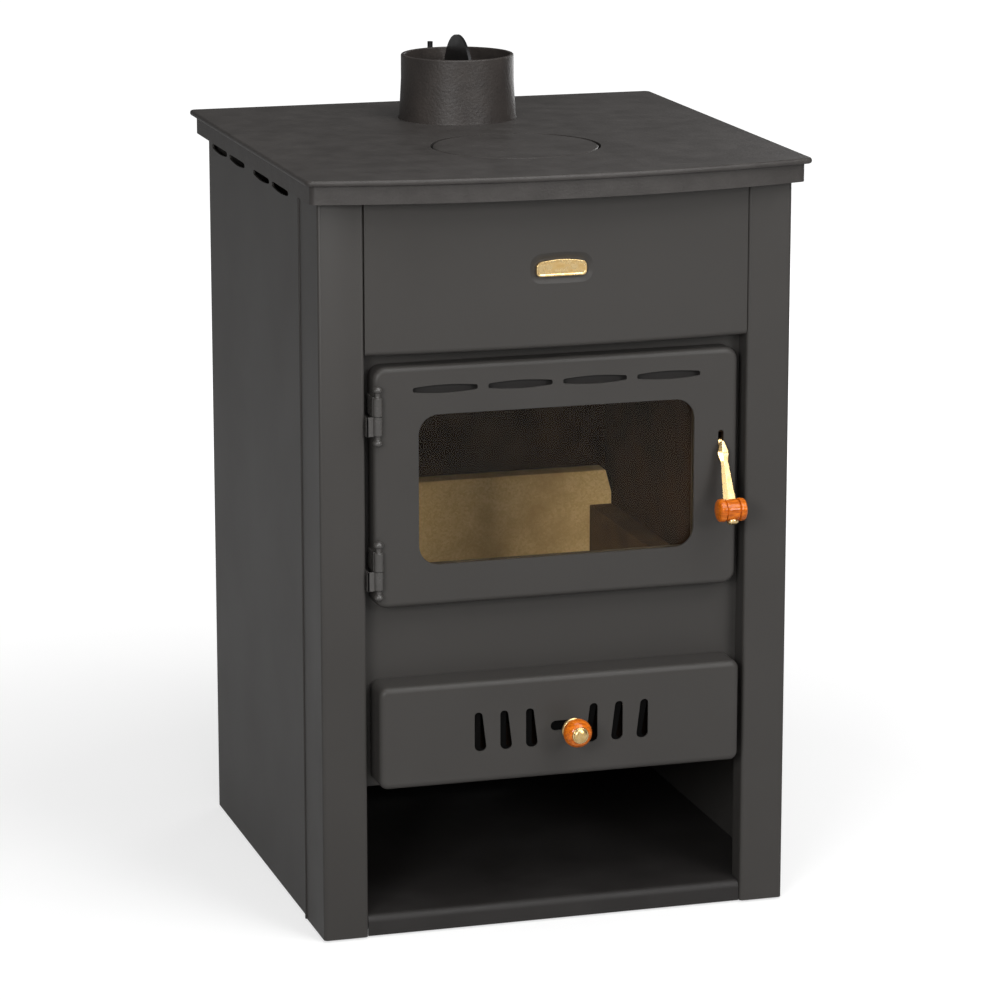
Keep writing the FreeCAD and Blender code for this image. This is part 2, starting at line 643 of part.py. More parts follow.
def top_plate():
    lip_low = PLATE_TOP - S.lip_thickness
    lip = prism("plate_lip", "Z", plate_outline(ZERO), (lip_low, PLATE_TOP))
    round_edges(lip, S.lip_round, lambda e: lies_at(e, "z", PLATE_TOP) or lies_at(e, "z", lip_low))
    band = prism("plate_band", "Z", plate_outline(S.band_inset), (CASING_TOP, lip_low))
    inner = HALF + S.lip_side - S.band_inset - S.rim_width
    hollow = box("plate_hollow", (-inner, inner), (FRAME_BACK, BACK - 2 * S.casing_sheet),
                 (CASING_TOP - S.plate_height, WEB_BOTTOM))
    seat = LID_RADIUS + S.lid_gap
    cutters = [
        hollow,
        rod("plate_lid_seat", "Z", (ZERO, LID_Y), seat, (PLATE_TOP - S.lid_seat, PLATE_TOP + S.lid_seat)),
        rod("plate_lid_hole", "Z", (ZERO, LID_Y), seat - S.lid_ledge, (CASING_TOP, PLATE_TOP)),
        rod("plate_flue_hole", "Z", (ZERO, COLLAR_Y), COLLAR_BASE + S.collar_fit,
            (CASING_TOP, PLATE_TOP + S.lid_seat)),
    ]
    for i, (x, y) in enumerate(collar_bolt_spots()):
        cutters.append(rod(f"plate_bolt_hole_{i}", "Z", (x, y), S.bolt_radius + S.screw_clearance,
                           (CASING_TOP, WEB_BOTTOM + S.bolt_grip)))
    node(cut("plate", fuse("plate_blank", [lip, band]), cutters), "top_plate")


def hotplate_lid():
    spigot = LID_RADIUS - S.lid_ledge - S.lid_gap
    low = PLATE_TOP - S.lid_seat
    profile = [
        (ZERO, WEB_BOTTOM), (spigot, WEB_BOTTOM), (spigot, low), (LID_RADIUS, low),
        (LID_RADIUS, PLATE_TOP - S.lid_chamfer), (LID_RADIUS - S.lid_chamfer, PLATE_TOP), (ZERO, PLATE_TOP),
    ]
    node(turned("lid", "Z", (ZERO, LID_Y), profile), "hotplate_lid")


def collar_bolt_spots():
    reach = (COLLAR_BASE + COLLAR_FLANGE) / 2 / root(Size(2, "2"))
    return [(x * reach, COLLAR_Y + y * reach) for x in (-1, 1) for y in (-1, 1)]


def flue_collar():
    flange_low = WEB_BOTTOM - S.collar_flange_thick
    land_low = COLLAR_TOP - S.collar_land
    chamfer = S.collar_chamfer
    bore = COLLAR_BORE
    body = turned("collar_body", "Z", (ZERO, COLLAR_Y), [
        (bore, flange_low), (COLLAR_FLANGE, flange_low), (COLLAR_FLANGE, WEB_BOTTOM),
        (COLLAR_BASE, WEB_BOTTOM), (COLLAR_BASE, PLATE_TOP), (S.collar_radius, land_low),
        (S.collar_radius, COLLAR_TOP - chamfer), (S.collar_radius - chamfer, COLLAR_TOP),
        (bore, COLLAR_TOP),
    ])
    level = (ZERO, DAMPER_LEVEL)
    front_in = COLLAR_Y - bore + S.bearing_inside
    rear_out = COLLAR_Y + COLLAR_BASE + S.bearing_outside
    front_ends = (COLLAR_Y - S.collar_radius, front_in)
    front_boss = rod("collar_front_boss", "Y", level, S.bearing_radius, front_ends)
    rear_boss = rod("collar_rear_boss", "Y", level, S.bearing_radius, (COLLAR_Y + bore, rear_out))
    flue = rod("collar_flue", "Z", (ZERO, COLLAR_Y), bore, (flange_low, COLLAR_TOP))
    rear_boss = cut("collar_rear_boss_trim", rear_boss, [flue])
    bearing = rod("collar_bearing", "Y", level, S.spindle_radius + S.running_fit,
                  (COLLAR_Y - S.collar_radius + S.bearing_skin, rear_out + S.bearing_outside))
    holes = [
        rod(f"collar_bolt_hole_{i}", "Z", spot, S.bolt_radius + S.screw_clearance,
            (flange_low - S.collar_flange_thick, WEB_BOTTOM))
        for i, spot in enumerate(collar_bolt_spots())
    ]
    node(cut("collar", fuse("collar_blank", [body, front_boss, rear_boss]), [bearing] + holes), "flue_collar")


def collar_bolts():
    seat = WEB_BOTTOM - S.collar_flange_thick
    profile = [
        (ZERO, seat - S.bolt_head_height), (S.bolt_head, seat - S.bolt_head_height), (S.bolt_head, seat),
        (S.bolt_radius, seat), (S.bolt_radius, WEB_BOTTOM + S.bolt_grip - S.screw_clearance),
        (ZERO, WEB_BOTTOM + S.bolt_grip - S.screw_clearance),
    ]
    bolts = [turned(f"collar_bolt_{i}", "Z", spot, profile) for i, spot in enumerate(collar_bolt_spots())]
    node(group("bolts", bolts), "collar_bolts")


def damper_radius():
    return COLLAR_BORE - S.damper_gap


def damper_screw_spots():
    return [COLLAR_Y + side * S.damper_screw_pitch for side in (-1, 1)]


def damper_disc():
    disc = rod("damper_blank", "X", (COLLAR_Y, DAMPER_LEVEL), damper_radius(), (ZERO, S.damper_thick))
    stop = COLLAR_Y - COLLAR_BORE + S.bearing_inside + S.damper_gap
    trim = box("damper_trim", (-S.damper_thick, 2 * S.damper_thick), (COLLAR_Y - COLLAR_BORE, stop),
               (DAMPER_LEVEL - COLLAR_BORE, DAMPER_LEVEL + COLLAR_BORE))
    holes = [
        rod(f"damper_hole_{i}", "X", (y, DAMPER_LEVEL), S.damper_screw + S.running_fit,
            (-S.damper_thick, 2 * S.damper_thick))
        for i, y in enumerate(damper_screw_spots())
    ]
    node(cut("damper", disc, [trim] + holes), "damper_disc")


def damper_spindle():
    r = S.spindle_radius
    start = COLLAR_Y - S.collar_radius + S.bearing_skin + S.damper_gap
    turn = COLLAR_Y + S.tip_behind
    shaft = rod("spindle_shaft", "Y", (ZERO, DAMPER_LEVEL), r, (start, turn - S.tip_bend))
    bend = DOC.addObject("Part::Torus", "spindle_bend")
    bind(bend, "Radius1", S.tip_bend)
    bind(bend, "Radius2", r)
    bend.Angle3 = 90
    across, down, left = FreeCAD.Vector(0, 1, 0), FreeCAD.Vector(0, 0, -1), FreeCAD.Vector(-1, 0, 0)
    bend.Placement = FreeCAD.Placement(FreeCAD.Vector(), FreeCAD.Rotation(across, down, left, "XYZ"))
    place(bend, ZERO, turn - S.tip_bend, DAMPER_LEVEL + S.tip_bend)
    tip = rod("spindle_tip", "Z", (ZERO, turn), r, (DAMPER_LEVEL + S.tip_bend, DAMPER_LEVEL + S.tip_rise))
    flat = box("spindle_flat", (ZERO, 2 * r),
               (COLLAR_Y - COLLAR_BORE + S.bearing_inside, COLLAR_Y + damper_radius() + S.damper_gap / 2),
               (DAMPER_LEVEL - 2 * r, DAMPER_LEVEL + 2 * r))
    holes = [
        rod(f"spindle_hole_{i}", "X", (y, DAMPER_LEVEL), S.damper_screw + S.running_fit, (-2 * r, ZERO))
        for i, y in enumerate(damper_screw_spots())
    ]
    node(cut("spindle", fuse("spindle_blank", [shaft, bend, tip]), [flat] + holes), "damper_spindle")


def damper_screws():
    screws = []
    for i, y in enumerate(damper_screw_spots()):
        profile = [
            (ZERO, -S.spindle_radius), (S.damper_screw, -S.spindle_radius), (S.damper_screw, S.damper_thick),
            (S.damper_screw_head, S.damper_thick),
            (S.damper_screw_head, S.damper_thick + S.damper_screw_head_height / 2),
            (S.damper_screw, S.damper_thick + S.damper_screw_head_height),
            (ZERO, S.damper_thick + S.damper_screw_head_height),
        ]
        screws.append(turned(f"damper_screw_{i}", "X", (y, DAMPER_LEVEL), profile))
    node(group("damper_fixings", screws), "damper_screws")


# Fire chamber

def firebox_walls():
    levels = (ASH_FLOOR, WEB_BOTTOM)
    depth = (FRAME_BACK, BOX_BACK)
    node(box("left_wall", (-BOX_HALF - S.firebox_sheet, -BOX_HALF), depth, levels), "firebox_left_wall")
    node(box("right_wall", (BOX_HALF, BOX_HALF + S.firebox_sheet), depth, levels), "firebox_right_wall")
    wide = BOX_HALF + S.firebox_sheet
    rear = (BOX_BACK, BOX_BACK + S.firebox_sheet)
    node(box("rear_wall", (-wide, wide), rear, levels), "firebox_back_wall")


def ash_floor():
    node(box("ash_plate", (-BOX_HALF, BOX_HALF), (FRAME_BACK, BOX_BACK), (ASH_FLOOR, ASH_FLOOR_TOP)),
         "ash_floor")


def grate_span(grow):
    half = BOX_HALF - S.grate_side + grow
    return (-half, half), (FRAME_BACK + S.grate_front - grow, BOX_BACK - S.grate_back + grow)


def hearth_plate():
    levels = (HEARTH_TOP - S.firebox_sheet, HEARTH_TOP)
    plate = box("hearth_blank", (-BOX_HALF, BOX_HALF), (FRAME_BACK, BOX_BACK), levels)
    x, y = grate_span(ZERO)
    hole = box("hearth_hole", x, y, (levels[0] - S.firebox_sheet, HEARTH_TOP + S.firebox_sheet))
    node(cut("hearth", plate, [hole]), "hearth_plate")


def grate():
    x, y = grate_span(S.grate_lap)
    rim_top = HEARTH_TOP + S.grate_thick / 2
    rim = box("grate_rim", x, y, (HEARTH_TOP, rim_top))
    inner_x, inner_y = grate_span(-S.grate_fit)
    core = box("grate_core", inner_x, inner_y, (rim_top - S.grate_thick, rim_top))
    pitch = S.grate_bar + S.grate_slot
    count = int((inner_x[1] - inner_x[0] - S.grate_bar).value / pitch.value)
    slots = []
    for i in range(count):
        left = (i - (count - 1) / 2) * pitch - S.grate_slot / 2
        slots.append(box(f"grate_slot_{i}", (left, left + S.grate_slot),
                         (inner_y[0] + S.grate_bar, inner_y[1] - S.grate_bar),
                         (HEARTH_TOP - S.grate_thick, rim_top + S.grate_thick)))
    node(cut("grate_casting", fuse("grate_blank", [rim, core]), slots), "grate")


def linings():
    face = BOX_BACK - S.back_lining_thick
    half = BOX_HALF - S.lining_gap
    c = S.back_lining_chamfer
    low = HEARTH_TOP
    top = DOOR_BOTTOM + S.back_lining_rise
    board = prism("back_board", "Y", [
        (-half, low), (half, low), (half, top - c), (half - c, top), (c - half, top), (-half, top - c),
    ], (face, BOX_BACK))
    node(board, "back_lining")
    depth = (FRAME_BACK + S.lining_gap, face - S.lining_gap)
    inner = BOX_HALF - S.side_lining_thick
    levels = (low, DOOR_BOTTOM - S.side_lining_drop)
    node(box("left_board", (-BOX_HALF, -inner), depth, levels), "left_lining")
    node(box("right_board", (inner, BOX_HALF), depth, levels), "right_lining")


def baffle():
    rail = (DOOR_TOP - S.rail_height, DOOR_TOP)
    depth = (FRONT + S.baffle_front, BOX_BACK)
    inner = BOX_HALF - S.rail_width
    rails = [
        box("baffle_rail_left", (-BOX_HALF, -inner), depth, rail),
        box("baffle_rail_right", (inner, BOX_HALF), depth, rail),
    ]
    node(group("rails", rails), "baffle_rails")
    half = BOX_HALF - S.baffle_gap
    levels = (DOOR_TOP, DOOR_TOP + S.baffle_thick)
    node(box("baffle", (-half, half), (depth[0], BOX_BACK - S.baffle_gap), levels), "baffle_plate")


def drawer_runners():
    t = S.runner_sheet
    top = ASH_FLOOR_TOP + S.runner_height
    runners = []
    for side, sign in (("left", -1), ("right", 1)):
        outer = PAN_HALF - S.runner_inset
        points = [
            (outer - S.runner_width, top - t), (outer - t, top - t), (outer - t, ASH_FLOOR_TOP),
            (outer, ASH_FLOOR_TOP), (outer, top), (outer - S.runner_width, top),
        ]
        if sign < 0:
            points = [(-u, v) for u, v in reversed(points)]
        runners.append(prism(f"{side}_runner", "Y", points, (FRAME_BACK, BOX_BACK)))
    node(group("runners", runners), "drawer_runners")


# Fire door

def door_panel():
    x = (-DOOR_HALF, DOOR_HALF)
    z = (DOOR_BOTTOM, DOOR_TOP)
    y = (DOOR_FACE, DOOR_BACK)
    outer, inner = pressed_shell("door", x, y, z, S.door_corner, S.door_round, S.door_sheet)
    through = (DOOR_FACE - S.door_sheet, DOOR_INNER + S.door_sheet)
    window_x, window_z = window_box(ZERO)
    window = prism("door_window", "Y", rounded_box(window_x, window_z, S.window_corner), through)
    cutters = [inner, window]
    for i in range(4):
        across = (i - 1.5) * DOOR_SLOT_PITCH
        shape = lens(across, DOOR_SLOT_LEVEL, DOOR_SLOT_LENGTH, S.door_slot_height, S.door_slot_end)
        cutters.append(prism(f"door_slot_{i}", "Y", shape, through))
    half = S.handle_slot_width / 2
    slot_x = (HANDLE_X - half, HANDLE_X + half)
    cutters.append(box("door_handle_slot", slot_x, through, (HANDLE_SLOT_BOTTOM, HANDLE_SLOT_TOP)))
    node(cut("door_shell", outer, cutters), "door_panel")


def window_box(grow):
    x = (-WINDOW_HALF - grow, WINDOW_HALF + grow)
    return x, (WINDOW_BOTTOM - grow, WINDOW_TOP + grow)


def glazing():
    x, z = window_box(S.glass_lap)
    node(box("glass", x, (GLASS_FRONT, GLASS_BACK), z), "window_glass")
    ring_y = (DOOR_INNER, GLASS_FRONT)
    ring = box("gasket_blank", x, ring_y, z)
    inner_x, inner_z = window_box(S.glass_lap - S.gasket_width)
    corner = S.window_corner
    hole_y = (DOOR_INNER - S.gasket_thick, GLASS_FRONT + S.gasket_thick)
    hole = prism("gasket_hole", "Y", rounded_box(inner_x, inner_z, corner), hole_y)
    node(cut("gasket", ring, [hole]), "glass_gasket")


def clip_spots():
    """Screw places of the glass clips, each with the way in towards the glass."""
    edge_x = WINDOW_HALF + S.glass_lap + S.clip_screw_head
    edge_z = WINDOW_TOP + S.glass_lap + S.clip_screw_head
    side_z = WINDOW_BOTTOM + S.clip_rise
    return [
        (-edge_x, side_z, 1, 0), (edge_x, side_z, -1, 0),
        (-S.clip_spread, edge_z, 0, -1), (S.clip_spread, edge_z, 0, -1),
    ]


def glass_clips():
    clips = []
    screws = []
    y = (GLASS_BACK, GLASS_BACK + S.clip_thick)
    half = S.clip_width / 2
    tail = S.clip_screw_head
    lead = S.clip_screw_head + S.clip_lap
    for i, (x, z, to_x, to_z) in enumerate(clip_spots()):
        if to_x:
            span = sorted((x - to_x * tail, x + to_x * lead), key=lambda size: size.value)
            plate = box(f"clip_plate_{i}", span, y, (z - half, z + half))
        else:
            plate = box(f"clip_plate_{i}", (x - half, x + half), y, (z - lead, z + tail))
        post = rod(f"clip_post_{i}", "Y", (x, z), S.clip_screw_head - S.clip_screw / 2, (DOOR_INNER, y[0]))
        hole = rod(f"clip_hole_{i}", "Y", (x, z), S.clip_screw + S.screw_clearance,
                   (DOOR_INNER, y[1] + S.clip_thick))
        clips.append(cut(f"clip_{i}", fuse(f"clip_blank_{i}", [plate, post]), [hole]))
        head = y[1] + S.clip_screw_head_height
        screws.append(turned(f"clip_screw_{i}", "Y", (x, z), [
            (ZERO, DOOR_INNER), (S.clip_screw, DOOR_INNER), (S.clip_screw, y[1]), (S.clip_screw_head, y[1]),
            (S.clip_screw_head, y[1] + S.clip_screw_head_height / 2), (S.clip_screw, head), (ZERO, head),
        ]))
    node(group("clips", clips), "glass_clips")
    node(group("clip_fixings", screws), "clip_screws")


def door_liner():
    t = S.liner_sheet
    x, z = (-LINER_HALF, LINER_HALF), (LINER_BOTTOM, LINER_TOP)
    shell = box("liner_blank", x, (DOOR_INNER, LINER_BACK), z)
    hollow = box("liner_hollow", (x[0] + t, x[1] - t), (DOOR_INNER - t, LINER_BACK - t), (z[0] + t, z[1] - t))
    hole_x, hole_z = window_box(S.liner_opening_margin)
    hole = box("liner_hole", hole_x, (DOOR_INNER, LINER_BACK + t), hole_z)
    node(cut("liner", shell, [hollow, hole]), "door_liner")
    rope_x, rope_z = (x[0], x[1]), (z[0], z[1])
    y = (LINER_BACK, FRAME_FRONT - S.rope_gap)
    w = S.rope_width
    outer = prism("rope_outer", "Y", rounded_box(rope_x, rope_z, w), y)
    inner_x, inner_z = (x[0] + w, x[1] - w), (z[0] + w, z[1] - w)
    inner = prism("rope_inner", "Y", rounded_box(inner_x, inner_z, w / 2), (y[0] - t, y[1] + t))
    node(cut("rope", outer, [inner]), "door_rope_seal")
    half = DOOR_HALF - S.door_slot_margin + S.backing_margin
    low = DOOR_SLOT_LEVEL - S.door_slot_height / 2 - S.backing_margin
    high = LINER_TOP - t
    plate_y = (DOOR_INNER + S.backing_gap, DOOR_INNER + S.backing_gap + S.backing_thick)
    plate = box("backing_sheet", (-half, half), plate_y, (low, high))
    top = box("backing_top", (-half, half), (DOOR_INNER, plate_y[1]), (high - S.backing_thick, high))
    node(fuse("backing", [plate, top]), "slot_backing")


def finial(radius_in, base, out):
    """Profile points of a small turned knob on the end of a knuckle, from its base outwards."""
    r = S.finial_radius
    step = S.finial_length * out
    return [
        (radius_in, base), (S.finial_neck, base + step / 5), (r, base + 2 * step / 5),
        (r, base + 4 * step / 5), (r / 2, base + step), (ZERO, base + step),
    ]


def hinge(name, level):
    """One lift-off hinge: the lower knuckle on the post, the upper one on the door."""
    r = S.knuckle_radius
    bore = S.hinge_pin_radius + S.running_fit
    spot = (HINGE_X, HINGE_Y)
    low, high = level - S.knuckle_gap / 2, level + S.knuckle_gap / 2
    base, crown = low - S.knuckle_length, high + S.knuckle_length
    deep = S.knuckle_length - S.hinge_pin_short
    lower = turned(f"{name}_lower", "Z", spot, [
        (r, base), (r, low), (bore, low), (bore, low - deep), (ZERO, low - deep),
    ] + list(reversed(finial(r - S.finial_neck / 2, base, -1))))
    upper = turned(f"{name}_upper", "Z", spot, [
        (r, crown), (r, high), (bore, high), (bore, high + deep), (ZERO, high + deep),
    ] + list(reversed(finial(r - S.finial_neck / 2, crown, 1))))
    leaf_y = (HINGE_Y, DOOR_FACE + S.leaf_depth)
    t = S.leaf_thick
    clear = rod(f"{name}_leaf_clear", "Z", spot, r - t / 2, (base, crown))
    door_flag = box(f"{name}_door_flag", (-DOOR_HALF - t, -DOOR_HALF), leaf_y, (high, crown))
    post_flag = box(f"{name}_post_flag", (-POST_IN, t - POST_IN), leaf_y, (base, low))
    post_arm = box(f"{name}_post_arm", (-POST_IN, HINGE_X), (HINGE_Y - t / 2, HINGE_Y + t / 2), (base, low))
    post_leaf = cut(f"{name}_post_trim", fuse(f"{name}_post_blank", [post_flag, post_arm]), [clear])
    node(fuse(f"{name}_post", [lower, post_leaf]), f"{name}_hinge_post_leaf")
    door_leaf = cut(f"{name}_door_trim", door_flag, [clear])
    node(fuse(f"{name}_door", [upper, door_leaf]), f"{name}_hinge_door_leaf")
    return rod(f"{name}_pin", "Z", spot, S.hinge_pin_radius,
               (low - deep + S.running_fit, high + deep - S.knuckle_gap))


def hinges():
    upper_level, lower_level = DOOR_TOP - S.upper_hinge_drop, DOOR_BOTTOM + S.lower_hinge_rise
    pins = [hinge("upper", upper_level), hinge("lower", lower_level)]
    node(group("pins", pins), "hinge_pins")


# Door handle

def cheek_planes():
    inner = S.lever_width / 2 + S.cheek_gap
    return inner, inner + S.cheek_thick


def latch_bracket():
    inner, outer = cheek_planes()
    y = (DOOR_INNER, DOOR_INNER + S.cheek_depth)
    z = (PIVOT_Z - S.cheek_height / 2, PIVOT_Z + S.cheek_height / 2)
    hole = S.pivot_radius + S.running_fit
    cheeks = [
        box("cheek_left", (HANDLE_X - outer, HANDLE_X - inner), y, z),
        box("cheek_right", (HANDLE_X + inner, HANDLE_X + outer), y, z),
        box("cheek_bridge", (HANDLE_X - outer, HANDLE_X + outer), y, (z[1], z[1] + S.bracket_bridge)),
    ]
    bore = rod("cheek_bore", "X", (PIVOT_Y, PIVOT_Z), hole, (HANDLE_X - 2 * outer, HANDLE_X + 2 * outer))
    node(cut("latch_cheeks", fuse("latch_blank", cheeks), [bore]), "latch_bracket")


def lever_pin():
    outer = cheek_planes()[1]
    ends = (HANDLE_X - outer, HANDLE_X + outer)
    node(rod("pivot", "X", (PIVOT_Y, PIVOT_Z), S.pivot_radius, ends), "lever_pin")


def elbow():
    return DOOR_FACE - S.elbow_ahead, PIVOT_Z - S.elbow_drop


def lean_point(down):
    """A point on the arm's middle line, so far below the elbow along the arm."""
    y, z = elbow()
    return y - LEAN_SINE * down, z - LEAN_COSINE * down


def lean(item, down):
    """Stands a solid made about Z on the arm's leaning line."""
    y, z = lean_point(down)
    item.Placement = FreeCAD.Placement(FreeCAD.Vector(), FreeCAD.Rotation(FreeCAD.Vector(-1, 0, 0), 1))
    bind(item, "Placement.Rotation.Angle", Size(1, f"asin({LEAN_SINE.text})"))
    return place(item, HANDLE_X, y, z)


def arm_section(body, width, depth, level):
    f = S.arm_facet
    x, y = width / 2, depth / 2
    return draw(body, "XY_Plane", [
        (f - x, -y), (x - f, -y), (x, f - y), (x, y - f), (x - f, y), (f - x, y), (-x, y - f), (-x, f - y),
    ], level)


def handle_lever():
    x = (HANDLE_X - S.lever_width / 2, HANDLE_X + S.lever_width / 2)
    hub = rod("lever_hub_disc", "X", (PIVOT_Y, PIVOT_Z), S.lever_hub, x)
    ey, ez = elbow()
    half = S.tongue_height / 2
    tongue = prism("lever_tongue", "X", [
        (ey, ez - half), (PIVOT_Y, PIVOT_Z - half), (PIVOT_Y, PIVOT_Z + half), (ey, ez + half),
    ], x)
    nose_y = PIVOT_Y + S.hook_reach
    under = PIVOT_Z - S.lever_hub
    hook = prism("lever_hook", "X", [
        (PIVOT_Y, under), (nose_y, under), (nose_y, under + S.hook_height + S.hook_nose),
        (nose_y - S.hook_nose, under + S.hook_height), (PIVOT_Y, under + S.hook_height),
    ], x)
    arm = DOC.addObject("PartDesign::Body", "lever_arm")
    loft = arm.newObject("PartDesign::AdditiveLoft", "lever_arm_loft")
    loft.Profile = arm_section(arm, S.arm_top_width, S.arm_top_depth, S.arm_above)
    loft.Sections = [arm_section(arm, S.arm_end_width, S.arm_end_depth, -S.arm_length)]
    loft.Ruled = True
    lean(arm, ZERO)
    stud = DOC.addObject("Part::Cylinder", "lever_stud")
    bind(stud, "Radius", S.stud_radius)
    bind(stud, "Height", 2 * S.grip_radius + 2 * S.grip_gap)
    lean(stud, S.arm_length + 2 * S.grip_radius + 2 * S.grip_gap)
    eye = rod("lever_eye", "X", (PIVOT_Y, PIVOT_Z), S.pivot_radius + S.running_fit,
              (x[0] - S.lever_width, x[1] + S.lever_width))
    node(cut("lever", fuse("lever_blank", [hub, tongue, hook, arm, stud]), [eye]), "handle_lever")


def handle_grip():
    down = S.arm_length + S.grip_gap + S.grip_radius
    half = S.grip_length / 2
    r, groove = S.grip_radius, S.grip_groove
    profile = [(ZERO, -half), (S.grip_end_radius, -half), (r, S.grip_end_radius / 2 - half)]
    for side in (-1, 1):
        start = side * S.grip_groove_offset - S.grip_groove_width / 2
        profile += [(r, start), (r - groove, start), (r - groove, start + S.grip_groove_width),
                    (r, start + S.grip_groove_width)]
    profile += [(r, half - S.grip_end_radius / 2), (S.grip_end_radius, half), (ZERO, half)]
    y, z = lean_point(down)
    barrel = turned("grip_barrel", "X", (y, z), profile)
    place(barrel, HANDLE_X, y, z)
    hole = DOC.addObject("Part::Cylinder", "grip_hole")
    bind(hole, "Radius", S.stud_radius + S.grip_gap)
    bind(hole, "Height", 4 * S.grip_radius)
    lean(hole, down + 2 * S.grip_radius)
    node(cut("grip", barrel, [hole]), "handle_grip")


def grip_cap():
    top = ZERO
    cap = DOC.addObject("PartDesign::Body", "cap")
    spin = cap.newObject("PartDesign::Revolution", "cap_turn")
    sketch = draw(cap, "XZ_Plane", [
        (ZERO, top), (ZERO, -S.cap_height), (S.cap_radius / 2, -S.cap_height),
        (S.cap_radius, -S.cap_height / 2), (S.cap_radius, top),
    ], ZERO)
    spin.Profile = sketch
    spin.ReferenceAxis = (sketch, ["V_Axis"])
    spin.Angle = 360
    lean(cap, S.arm_length + 2 * S.grip_radius + 2 * S.grip_gap)
    node(cap, "grip_cap")


def latch_keeper():
    half = S.keeper_width / 2
    plate_y = (FRAME_FRONT - S.keeper_plate, FRAME_FRONT)
    nose_top = PIVOT_Z - S.lever_hub + S.hook_height + S.hook_nose
    bar_z = nose_top + S.keeper_clear + S.keeper_bar
    x = (HANDLE_X - half, HANDLE_X + half)
    foot = bar_z - S.keeper_bar
    plate = box("keeper_plate_sheet", x, plate_y, (foot, foot + S.keeper_height))
    bar = rod("keeper_rod", "X", (FRAME_FRONT - S.keeper_plate - S.keeper_bar, bar_z), S.keeper_bar, x)
    web = box("keeper_web", x, (FRAME_FRONT - S.keeper_plate - S.keeper_bar, FRAME_FRONT),
              (bar_z, bar_z + S.keeper_bar))
    node(fuse("keeper", [plate, bar, web]), "latch_keeper")


# Ash drawer and air control

def air_slot(name, centre, mirror, y):
    """A slot that narrows upwards, with one straight and one sloping side."""
    low, high = AIR_SLOT_BOTTOM, AIR_SLOT_TOP
    wide, narrow = S.air_slot_wide, S.air_slot_narrow
    rl, rh = wide / 3, narrow / 3
    left = -wide / 2
    points = [
        (left + rl, low), (left + wide - rl, low, rl, True), (left + wide, low + rl),
        (left + narrow, high - rh, rh, True), (left + narrow - rh, high), (left + rh, high, rh, True),
        (left, high - rh), (left, low + rl, rl, True),
    ]
    if mirror:
        flipped = []
        count = len(points)
        for i in range(count):
            u, v = points[-1 - i][:2]
            bend = points[-2 - i][2:] if i + 1 < count else points[-1][2:]
            flipped.append((-u, v) + tuple(bend))
        points = flipped
    return prism(name, "Y", [(centre + p[0],) + tuple(p[1:]) for p in points], y)


def air_slots(name, y, shift):
    cutters = []
    for i in range(3):
        reach = S.air_slot_first + i * S.air_slot_pitch
        cutters.append(air_slot(f"{name}_left_{i}", shift - reach, False, y))
        cutters.append(air_slot(f"{name}_right_{i}", shift + reach, True, y))
    return cutters


def drawer_front():
    x, z = (-DRAWER_HALF, DRAWER_HALF), (DRAWER_BOTTOM, DRAWER_TOP)
    outer, inner = pressed_shell("drawer", x, (DRAWER_FACE, DRAWER_BACK), z, S.drawer_corner, S.drawer_round,
                                 S.drawer_sheet)
    through = (DRAWER_FACE - S.drawer_sheet, DRAWER_INNER + S.drawer_sheet)
    reach = S.stem_radius + S.knob_slot_clear / 2
    half = S.knob_slot_height / 2
    slot_x = (S.knob_offset - S.slide_travel - reach, S.knob_offset + reach)
    knob_slot = box("drawer_knob_slot", slot_x, through, (KNOB_LEVEL - half, KNOB_LEVEL + half))
    cutters = [inner, knob_slot] + air_slots("front_air", through, ZERO)
    node(cut("drawer_shell", outer, cutters), "drawer_front")


def ash_pan():
    t = S.pan_sheet
    x = (-PAN_HALF, PAN_HALF)
    y = (FRAME_BACK + S.pan_front, BOX_BACK - S.pan_back)
    blank = box("pan_blank", x, y, (PAN_BOTTOM, PAN_TOP))
    hollow = box("pan_hollow", (x[0] + t, x[1] - t), (y[0] + t, y[1] - t), (PAN_BOTTOM + t, PAN_TOP + t))
    lowered = box("pan_lowered", (x[0] + t, x[1] - t), (y[0] - t, y[0] + 2 * t),
                  (PAN_TOP - S.pan_front_drop, PAN_TOP + t))
    node(cut("pan", blank, [hollow, lowered]), "ash_pan")


def drawer_brackets():
    t = S.bracket_sheet
    z = (DRAWER_BOTTOM + S.bracket_rise, DRAWER_TOP - S.bracket_drop)
    end = FRAME_BACK + S.pan_front + S.bracket_lap
    rivet_y = end - S.bracket_lap / 2
    rivet_levels = ((3 * z[0] + z[1]) / 4, (z[0] + 3 * z[1]) / 4)
    brackets = []
    rivets = []
    for side, sign in (("left", -1), ("right", 1)):
        toe = PAN_HALF + S.bracket_foot
        points = [
            (PAN_HALF, DRAWER_INNER), (toe, DRAWER_INNER), (toe, DRAWER_INNER + t),
            (PAN_HALF + t, DRAWER_INNER + t), (PAN_HALF + t, end), (PAN_HALF, end),
        ]
        if sign < 0:
            points = [(-u, v) for u, v in reversed(points)]
        brackets.append(prism(f"{side}_bracket", "Z", points, z))
        for i, level in enumerate(rivet_levels):
            face = PAN_HALF + t
            r, rise = S.rivet_head, S.rivet_head_height
            profile = [
                (ZERO, face), (r, face), (r * 3 / 4, face + rise * 3 / 4), (r / 2, face + rise),
                (ZERO, face + rise),
            ]
            if sign < 0:
                profile = [(u, -v) for u, v in reversed(profile)]
            rivets.append(turned(f"{side}_rivet_{i}", "X", (rivet_y, level), profile))
    node(group("brackets", brackets), "drawer_brackets")
    node(group("rivets", rivets), "bracket_rivets")


